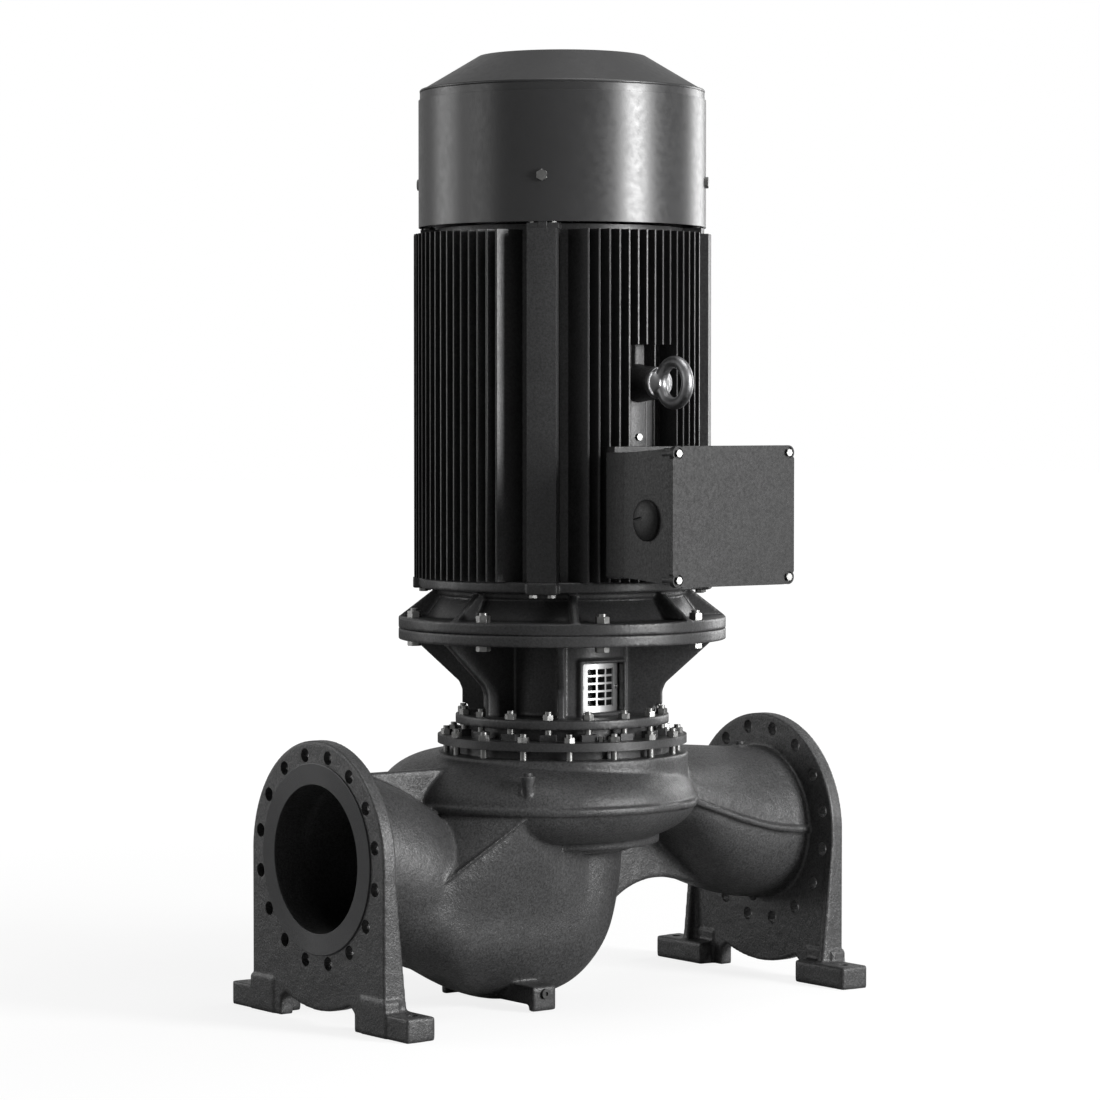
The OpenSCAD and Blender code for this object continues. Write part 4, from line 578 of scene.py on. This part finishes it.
def add_webs(bm):
    """Upright webs on the centre line, one towards each port."""
    place = Matrix.Translation(cal(0, WEB_T / 2, 0)) @ Matrix.Rotation(math.radians(90), 4, "X")
    suction = [(-720, 60), (-560, 90), (-420, 0), (-331, -90), (-224, -30), (-140, 30),
               (-230, WEB_Z), (-720, WEB_Z)]
    arch = [(WEB_ARCH_X + WEB_ARCH_R * math.cos(math.radians(a)),
             WEB_ARCH_Z + WEB_ARCH_R * math.sin(math.radians(a))) for a in range(130, 79, -2)]
    discharge = [(100, 60), (100, -150)] + arch + [(640, -190), (640, -60), (230, 60)]
    for outline in (suction, discharge):
        add_prism(bm, outline, place, WEB_T)


def arc(cx, cy, r, start, end, step=3):
    """Points on an arc, angles in degrees."""
    n = max(2, int(abs(end - start) / step))
    angles = [math.radians(start + (end - start) * i / n) for i in range(n + 1)]
    return [(cx + r * math.cos(a), cy + r * math.sin(a)) for a in angles]


def plate_outline():
    """Port plate with its round top, legs, arch corners and belly."""
    belly = math.degrees(math.asin(BELLY_HALF / BELLY_R))
    corner = ARCH_HALF - ARCH_FILLET * 0.6
    right = [(FLANGE_R, -PORT_Z), (ARCH_HALF, -PORT_Z),
             (ARCH_HALF, ARCH_Z - ARCH_FILLET * 0.4)]
    low = arc(0, 0, BELLY_R, -90 + belly * 0.93, -90 - belly * 0.93)
    left = [(-x, y) for x, y in reversed(right)]
    return (arc(0, 0, FLANGE_R, 180, 0)[:-1] + [(FLANGE_R, 0)] + right
            + [(corner, ARCH_Z + 2)] + low + [(-corner, ARCH_Z + 2)] + left)


def across_x(side, depth_from):
    """Matrix that lays an outline (y, z) against a plane across the pipe."""
    turn = Matrix(((0, 0, 1, 0), (1, 0, 0, 0), (0, 1, 0, 0), (0, 0, 0, 1)))
    flip = Matrix.Scale(side, 4, (1, 0, 0))
    return flip @ Matrix.Translation((depth_from, 0, PORT_Z)) @ turn


def add_box(bm, low, high):
    """Box between two corners."""
    x0, y0, z0 = low
    x1, y1, z1 = high
    flat = Matrix.Translation((0, 0, z0))
    add_prism(bm, [(x0, y0), (x1, y0), (x1, y1), (x0, y1)], flat, z1 - z0)


def add_port_end(bm, side):
    """Port plate with its feet, ledges and wings; side is -1 for suction."""
    back = PLATE_X - FLANGE_T
    add_prism(bm, plate_outline(), across_x(side, back), FLANGE_T)
    foot_in = FOOT_OUT - FOOT_L
    for y in (-1, 1):
        xs = sorted((side * PLATE_X, side * (PLATE_X - FOOT_W)))
        ys = sorted((y * foot_in, y * FOOT_OUT))
        add_box(bm, (xs[0], ys[0], 0), (xs[1], ys[1], FOOT_H))
        end, top = foot_in + LEDGE_L, FOOT_H + LEDGE_H - PORT_Z
        ledge = [(y * foot_in, -PORT_Z), (y * end, -PORT_Z), (y * end, top - LEDGE_BEVEL),
                 (y * (end - LEDGE_BEVEL), top), (y * foot_in, top)]
        add_prism(bm, ledge, across_x(side, PLATE_X - FOOT_W / 2), FOOT_W / 2 + 4)
        root, tip = side * (back + WING_IN), side * (back + WING_OUT)
        wing = [(root, 0), (tip, FOOT_H - PORT_Z), (tip, -PORT_Z), (root, -PORT_Z)]
        wing_y = y * FLANGE_R if y > 0 else y * FLANGE_R + WING_T
        place = Matrix.Translation((0, wing_y, PORT_Z)) @ Matrix.Rotation(math.radians(90), 4, "X")
        add_prism(bm, wing, place, WING_T)


def add_bead(bm, path, half=9, out=7, inside=30):
    """Raised line along a path of (point, outward direction), with bevelled edges."""
    up = Vector((0, 0, 1))
    section = [(-inside, -half), (out - 3, -half), (out, 3 - half),
               (out, half - 3), (out - 3, half), (-inside, half)]
    add_loft(bm, [[point + away * x + up * z for x, z in section] for point, away in path])


def volute_bead_path():
    """Parting line round the volute's near side."""
    path = []
    for i, (x, y, start, sweep) in enumerate(volute_arcs()[:3]):
        r = VOLUTE_R + i * VOLUTE_STEP
        for k in range(46):
            a = math.radians(start + sweep * k / 45)
            away = Vector((math.cos(a), math.sin(a), 0))
            path.append((cal(x, y, VOLUTE_Z) + away * r, away))
    return path


def nozzle_bead_path():
    """Parting line that leaves the volute and sweeps down the nozzle's near side."""
    knots = [(60, -350, 103), (140, -328, 102), (200, -270, 100), (250, -215, 92), (330, -202, 66),
             (420, -200, 36), (520, -196, 10), (600, -193, 0), (664, -192, -2)]
    away = Vector((0, -1, 0))
    return [(cal(*k), away) for k in fill([list(k) for k in knots], 8)]


# Crease from the neck's nose up to the volute, and the flank below it, row frame
CREASE = [(-482, -184, 318), (-378, -219, 396), (-275, -254, 474)]
FLANK = [(-452, -184, 212), (-20, -150, 212), (-20, -149, 470)]

# Wedge above the crease: its rim inside the volute, its top and its root
WEDGE_IN, WEDGE_TOP = 2, 479
WEDGE_ROOT = [(-200, -60, 470), (-300, -60, 330)]


def crease_path():
    """The raised line along the crease, leaning out of the flank."""
    away = Vector((-0.25, -0.95, 0.18))
    return [(Vector(k), away) for k in fill([list(k) for k in CREASE], 10)]


def add_hull(bm, points):
    """Convex solid round the points and their mirror images across the pump."""
    part = bmesh.new()
    for x, y, z in points:
        part.verts.new((x, y, z))
        part.verts.new((x, -y, z))
    bmesh.ops.convex_hull(part, input=part.verts)
    loose = [v for v in part.verts if not v.link_faces]
    bmesh.ops.delete(part, geom=loose, context="VERTS")
    mesh = bpy.data.meshes.new("hull")
    part.to_mesh(mesh)
    part.free()
    bm.from_mesh(mesh)
    bpy.data.meshes.remove(mesh)


def add_saddle(bm):
    """The wedge between the bag's flank, the neck and the volute."""
    cx, cy = volute_arcs()[1][:2]
    r = VOLUTE_R + VOLUTE_STEP - WEDGE_IN
    turns = [math.radians(a) for a in range(-175, -130, 7)]
    rim = [(SHAFT_X + cx + r * math.cos(a), cy + r * math.sin(a), WEDGE_TOP) for a in turns]
    low = [(x + 5, y + 6, z - 8) for x, y, z in CREASE]
    add_hull(bm, low + rim + WEDGE_ROOT)
    add_bead(bm, crease_path(), 4, 6, 12)


def add_casing_trim(bm):
    """Bosses, rings and the middle foot of the casting."""
    add_drum(bm, RIM_R, VOLUTE_Z, 217)
    add_drum(bm, PAD_R, -5, 55)
    add_drum(bm, EYE_R, -22, 38)
    turn, tap_low = math.radians(TAP_TURN), TAP_Z - TAP_H
    boss = (SHAFT_X + TAP_R * math.cos(turn), TAP_R * math.sin(turn), PORT_Z)
    add_lathe(bm, [(0.5, tap_low), (TAP_TIP, tap_low), (TAP_TOP, TAP_Z), (0.5, TAP_Z)], boss, 48)
    plug = [(0.5, 160), (PLUG_R, 160), (PLUG_R, 203), (0.5, 203)]
    add_lathe(bm, plug, (SHAFT_X + PLUG_X, 0, PORT_Z), 48)
    nub = [(0.5, -202), (NUB_R - 2, -202), (NUB_R, -196), (NUB_R, -170), (0.5, -170)]
    add_lathe(bm, nub, (SHAFT_X + NUB_X, 0, PORT_Z), 40)
    half_w, half_l = MID_FOOT_W / 2, MID_FOOT_L / 2
    add_box(bm, (MID_FOOT_X - half_w, -half_l, 17), (MID_FOOT_X + half_w, half_l, 62))
    for y in (-half_l, half_l - 22):
        add_box(bm, (MID_FOOT_X - half_w, y, 2), (MID_FOOT_X + half_w, y + 22, 62))
    add_box(bm, (MID_FOOT_X - 25, -70, 27), (MID_FOOT_X + 25, 70, 127))


def bag_solids():
    """Closed solids of the suction side: neck, sump, elbow and flank."""
    bm = bmesh.new()
    add_loft(bm, [neck_ring(s, 0, 96) for s in fill(NECK, 6)])
    add_loft(bm, [neck_ring(s, 0, 96) for s in fill(SUMP, 6)])
    add_loft(bm, [elbow_ring(s, 0) for s in fill(ELBOW, 6)])
    add_hull(bm, CREASE + FLANK)
    return bm


def cast_solids(bag):
    """Closed solids of the raw casting, overlapping where they join; uses up the bag."""
    bm = bmesh.new()
    bm.from_mesh(bag.data)
    bm.transform(Matrix.Scale(1 / MM, 4))
    bpy.data.objects.remove(bag)
    add_loft(bm, [nozzle_ring(s, 128) for s in fill(NOZZLE, 6)])
    add_volute(bm, 0)
    add_webs(bm)
    add_saddle(bm)
    add_casing_trim(bm)
    add_bead(bm, volute_bead_path())
    add_bead(bm, nozzle_bead_path(), 8)
    for side in (-1, 1):
        add_port_end(bm, side)
    return bm


def water_solids():
    """Closed solids of the water space, reaching out of both ports."""
    inside = [s if s[0] > -350 else (s[0] + WALL, *s[1:]) for s in ELBOW if s[0] > -370]
    bm = bmesh.new()
    add_loft(bm, [neck_ring(s, 1, 96) for s in fill(NECK, 6)])
    add_loft(bm, [neck_ring(s, 1, 96) for s in fill(SUMP, 6)])
    add_loft(bm, [elbow_ring(s, WALL) for s in fill(inside, 6)])
    add_loft(bm, [nozzle_ring(s, 96) for s in fill(PASSAGE, 6)])
    add_volute(bm, WALL)
    add_drum(bm, 262, 152, 240)
    add_drum(bm, 120, -30, 60)
    turns = [2 * math.pi * j / 128 for j in range(128)]
    circle = [(PORT_R * math.cos(t), PORT_R * math.sin(t)) for t in turns]
    for side in (-1, 1):
        add_prism(bm, circle, across_x(side, PORT_X - 90), 110)
    return bm


def bolt_holes():
    """Cylinders of the port bolt holes and the foundation holes."""
    bm = bmesh.new()
    turns = [2 * math.pi * j / 48 for j in range(48)]
    for side in (-1, 1):
        for k in range(BOLTS):
            a = 2 * math.pi * (k + 0.5) / BOLTS
            y, z = BOLT_R * math.cos(a), BOLT_R * math.sin(a)
            hole = [(y + BOLT_HOLE * math.cos(t), z + BOLT_HOLE * math.sin(t)) for t in turns]
            add_prism(bm, hole, across_x(side, PLATE_X - FLANGE_T - 14), FLANGE_T + 40)
        for y in (-FOOT_HOLE_Y, FOOT_HOLE_Y):
            centre = (side * FOOT_HOLE_X, y, 0)
            add_lathe(bm, [(0.2, -5), (FOOT_HOLE, -5), (FOOT_HOLE, FOOT_H + 5), (0.2, FOOT_H + 5)],
                      centre, 48)
    return bm


def scratch_object(name, bm):
    """Object that only takes part in building another."""
    tidy_normals(bm)
    bm.transform(Matrix.Scale(MM, 4))
    mesh = bpy.data.meshes.new(name)
    bm.to_mesh(mesh)
    bm.free()
    obj = bpy.data.objects.new(name, mesh)
    bpy.context.scene.collection.objects.link(obj)
    return obj


def melt(obj, voxel, rounds):
    """Joins overlapping solids into one skin, with small fillets where they meet."""
    remesh = obj.modifiers.new("melt", "REMESH")
    remesh.mode = "VOXEL"
    remesh.voxel_size = voxel
    relax = obj.modifiers.new("relax", "SMOOTH")
    relax.factor = RELAX
    relax.iterations = rounds
    apply_all(obj)


def relax_where(obj, weight, rounds):
    """Smooths only where weight(point) says, from 0 to 1."""
    group = obj.vertex_groups.new(name="relax")
    co = np.empty(len(obj.data.vertices) * 3, np.float32)
    obj.data.vertices.foreach_get("co", co)
    weights = weight(co.reshape(-1, 3))
    for share in (0.25, 0.5, 0.75, 1.0):
        level = (weights > share - 0.25) & (weights <= share + 1e-6)
        chosen = np.flatnonzero(level & (weights > 0))
        group.add([int(v) for v in chosen], share, "REPLACE")
    relax = obj.modifiers.new("relax_where", "SMOOTH")
    relax.vertex_group = group.name
    relax.factor = RELAX
    relax.iterations = rounds
    apply_all(obj)
    obj.vertex_groups.clear()


def cut(obj, tool):
    """Takes the tool's volume out of the object, and deletes the tool."""
    boolean = obj.modifiers.new("cut", "BOOLEAN")
    boolean.operation = "DIFFERENCE"
    boolean.solver = "MANIFOLD"
    boolean.object = tool
    apply_all(obj)
    bpy.data.objects.remove(tool)


def under_crease(p):
    """1 on the bag's flank and belly, fading out towards the crease above."""
    (x0, _, z0), (x1, _, z1) = CREASE[0], CREASE[-1]
    run, rise = x1 - x0, z1 - z0
    below = ((p[:, 0] / MM - x0) * rise - (p[:, 2] / MM - z0) * run) / math.hypot(run, rise)
    return np.clip((below - 15) / 50, 0, 1) * np.clip((0.62 + p[:, 0]) / 0.06, 0, 1)


def sand_cast(p):
    """1 on the rough casting, 0 on the port plates and along the raised lines."""
    soft = np.clip((0.655 - np.abs(p[:, 0])) / 0.02, 0, 1)
    for point, away in volute_bead_path() + nozzle_bead_path() + crease_path():
        near = np.abs(p - np.array((point + away * 4) * MM)) < 0.016
        soft[near.all(axis=1)] = 0
    return soft


def casting():
    """The whole cast casing, with sand-cast fillets and open water ways."""
    bag = scratch_object("bag", bag_solids())
    melt(bag, 0.009, 8)
    relax_where(bag, under_crease, 70)
    bm = cast_solids(bag)
    tidy_normals(bm)
    obj = new_object("casing_casting", bm, CAST, stands_for=("casing",))
    melt(obj, 0.0034, 4)
    relax_where(obj, sand_cast, 16)
    water = scratch_object("water", water_solids())
    melt(water, 0.006, 8)
    cut(obj, water)
    cut(obj, scratch_object("holes", bolt_holes()))
    smooth(obj, 50)
    return obj


def port_faces():
    """Raised sealing faces with their turned grooves."""
    low = PLATE_X - 12
    profile = [(PORT_R, low), (PORT_R, PORT_X - 1), (PORT_R + 1, PORT_X),
               (FACE_R - 1, PORT_X), (FACE_R, PORT_X - 1), (FACE_R, low)]
    steps, m = 192, len(profile)
    for name, side in (("suction_face", -1), ("discharge_face", 1)):
        bm = bmesh.new()
        rows = []
        for i in range(steps):
            t = 2 * math.pi * i / steps
            y, z = math.cos(t), math.sin(t)
            rows.append([bm.verts.new((side * x, r * y, PORT_Z + r * z)) for r, x in profile])
        for i in range(steps):
            a, b = rows[i], rows[(i + 1) % steps]
            for j in range(m):
                k = (j + 1) % m
                bm.faces.new((a[j], a[k], b[k], b[j]))
        tidy_normals(bm)
        obj = new_object(name, bm, FACE)
        smooth(obj, 30)


# Rolled edge of the canopy, and the blanking plugs of the cable entries
CANOPY_R, CANOPY_Z, CANOPY_ROLL = 343.2, 1822, 4.2
ENTRY_PLACE, ENTRY_TURN = (SHAFT_X - 170.5, -547, PORT_Z + 795), -3.46


def canopy_bead():
    """Rolled edge where the slope of the rain canopy meets its band."""
    bm = bmesh.new()
    turns = [math.radians(a) for a in range(0, 360, 30)]
    rim = [(CANOPY_R + CANOPY_ROLL * math.cos(a), CANOPY_Z + CANOPY_ROLL * math.sin(a))
           for a in turns]
    add_lathe(bm, rim, steps=256)
    tidy_normals(bm)
    smooth(new_object("canopy_bead", bm, SHEET), 60)


def plug_caps():
    """Domed blanking plug with a shallow driver groove, in place of the plain CAD one."""
    dome = [(0.5, -9), (39, -9), (39, 0), (48, 0), (48, 5), (46, 8), (41, 11.5),
            (32, 14.5), (20, 16.5), (0.5, 17.5)]
    place = (Matrix.Translation(ENTRY_PLACE) @ Matrix.Rotation(math.radians(ENTRY_TURN), 4, "Z")
             @ Matrix.Rotation(math.radians(-90), 4, "Y"))
    bm = bmesh.new()
    add_lathe(bm, dome, (0, 0, 0), 96)
    bm.transform(place)
    tidy_normals(bm)
    obj = new_object("entry_plugs", bm, BOX, stands_for=("cable_entry_plugs",))
    groove = bmesh.new()
    add_box(groove, (-3.5, -27, 0), (3.5, 27, 20))
    groove.transform(place @ Matrix.Translation((1, 24, 10.5))
                     @ Matrix.Rotation(math.radians(11), 4, "Z")
                     @ Matrix.Rotation(math.radians(-9), 4, "X"))
    cut(obj, scratch_object("groove", groove))
    smooth(obj, 40)


# Stage: the floor's tone to reflections and to the camera, and its own light near and far
FLOOR_DULL, FLOOR_SEEN = 0.34, 0.86
GLOW, GLOW_NEAR, GLOW_FAR = 1.04, (1.2, 0.8), (5.0, 1.0)


def add_stage():
    """Pale floor: white to the camera far off, and shaded near the object."""
    bm = bmesh.new()
    bmesh.ops.create_grid(bm, x_segments=1, y_segments=1, size=60)
    mesh = bpy.data.meshes.new("floor")
    bm.to_mesh(mesh)
    bm.free()
    floor = bpy.data.objects.new("floor", mesh)
    bpy.context.scene.collection.objects.link(floor)
    mat = bpy.data.materials.new("floor")
    mat.use_nodes = True
    tree = mat.node_tree
    out = tree.nodes["Material Output"]
    tree.nodes.remove(tree.nodes["Principled BSDF"])
    diffuse = tree.nodes.new("ShaderNodeBsdfDiffuse")
    shade_of = tree.nodes.new("ShaderNodeMix")
    shade_of.data_type = "RGBA"
    shade_of.inputs["A"].default_value = (FLOOR_DULL, FLOOR_DULL, FLOOR_DULL, 1)
    shade_of.inputs["B"].default_value = (FLOOR_SEEN, FLOOR_SEEN, FLOOR_SEEN, 1)
    glow = tree.nodes.new("ShaderNodeEmission")
    glow.inputs["Strength"].default_value = GLOW
    path = tree.nodes.new("ShaderNodeLightPath")
    coords = tree.nodes.new("ShaderNodeTexCoord")
    far = tree.nodes.new("ShaderNodeVectorMath")
    far.operation = "LENGTH"
    fade = tree.nodes.new("ShaderNodeMapRange")
    fade.inputs["From Min"].default_value = GLOW_NEAR[0]
    fade.inputs["From Max"].default_value = GLOW_FAR[0]
    fade.inputs["To Min"].default_value = GLOW_NEAR[1]
    fade.inputs["To Max"].default_value = GLOW_FAR[1]
    share = tree.nodes.new("ShaderNodeMath")
    share.operation = "MULTIPLY"
    mix = tree.nodes.new("ShaderNodeMixShader")
    tree.links.new(path.outputs["Is Camera Ray"], shade_of.inputs["Factor"])
    tree.links.new(shade_of.outputs["Result"], diffuse.inputs["Color"])
    tree.links.new(coords.outputs["Object"], far.inputs[0])
    tree.links.new(far.outputs["Value"], fade.inputs["Value"])
    tree.links.new(path.outputs["Is Camera Ray"], share.inputs[0])
    tree.links.new(fade.outputs["Result"], share.inputs[1])
    tree.links.new(share.outputs[0], mix.inputs["Fac"])
    tree.links.new(diffuse.outputs[0], mix.inputs[1])
    tree.links.new(glow.outputs[0], mix.inputs[2])
    tree.links.new(mix.outputs[0], out.inputs["Surface"])
    mesh.materials.append(mat)


# World's strength as a lamp, and the share of white that reflections see
WORLD_LAMP, WORLD_GLOSS = 0.10, 0.34


def add_world():
    """White to the camera, dimmer to reflections, faint as a lamp."""
    world = bpy.data.worlds.new("studio")
    bpy.context.scene.world = world
    world.use_nodes = True
    tree = world.node_tree
    back = tree.nodes["Background"]
    back.inputs["Color"].default_value = (1, 1, 1, 1)
    path = tree.nodes.new("ShaderNodeLightPath")
    seen = tree.nodes.new("ShaderNodeMath")
    seen.operation = "MAXIMUM"
    glossy = tree.nodes.new("ShaderNodeMath")
    glossy.operation = "MULTIPLY"
    glossy.inputs[1].default_value = WORLD_GLOSS
    level = tree.nodes.new("ShaderNodeMapRange")
    level.inputs["To Min"].default_value = WORLD_LAMP
    level.inputs["To Max"].default_value = 1.0
    tree.links.new(path.outputs["Is Glossy Ray"], glossy.inputs[0])
    tree.links.new(path.outputs["Is Camera Ray"], seen.inputs[0])
    tree.links.new(glossy.outputs[0], seen.inputs[1])
    tree.links.new(seen.outputs[0], level.inputs["Value"])
    tree.links.new(level.outputs["Result"], back.inputs["Strength"])


# Soft boxes, set by where their bands show on the round cowl: place, width,
# height in metres and power in watts
LAMPS = {
    "band_front": ((2.5, -6.2, 2.3), 1.7, 3.2, 720),
    "side_right": ((6.3, 1.0, 2.0), 2.6, 3.4, 170),
    "side_left": ((-4.0, 4.9, 2.2), 2.6, 3.4, 100),
    "front_left": ((-6.6, 1.9, 2.6), 2.8, 3.0, 55),
    "top_soft": ((0.4, -1.2, 6.0), 3.0, 3.0, 120),
}
LAMP_AIM = Vector((0.0, 0.0, 1.1))


def add_lights():
    """Area lamps that face the middle of the pump."""
    for name, (place, width, height, power) in LAMPS.items():
        data = bpy.data.lights.new(name, "AREA")
        data.shape = "RECTANGLE"
        data.size = width
        data.size_y = height
        data.energy = power
        lamp = bpy.data.objects.new(name, data)
        lamp.location = place
        lamp.rotation_euler = (LAMP_AIM - Vector(place)).to_track_quat("-Z", "Y").to_euler()
        bpy.context.scene.collection.objects.link(lamp)


add_camera()
dress_cad()
soften_casting("motor_stool", 0.0035, 3)
soften_casting("drive_endshield", 0.0035, 3)
soften_casting("eyebolts", 0.0014, 4)
round_edges("terminal_box", 0.006)
round_edges("box_lid", 0.0025)
casting()
port_faces()
canopy_bead()
plug_caps()
add_stage()
add_world()
add_lights()

bpy.context.scene.view_settings.view_transform = "Standard"
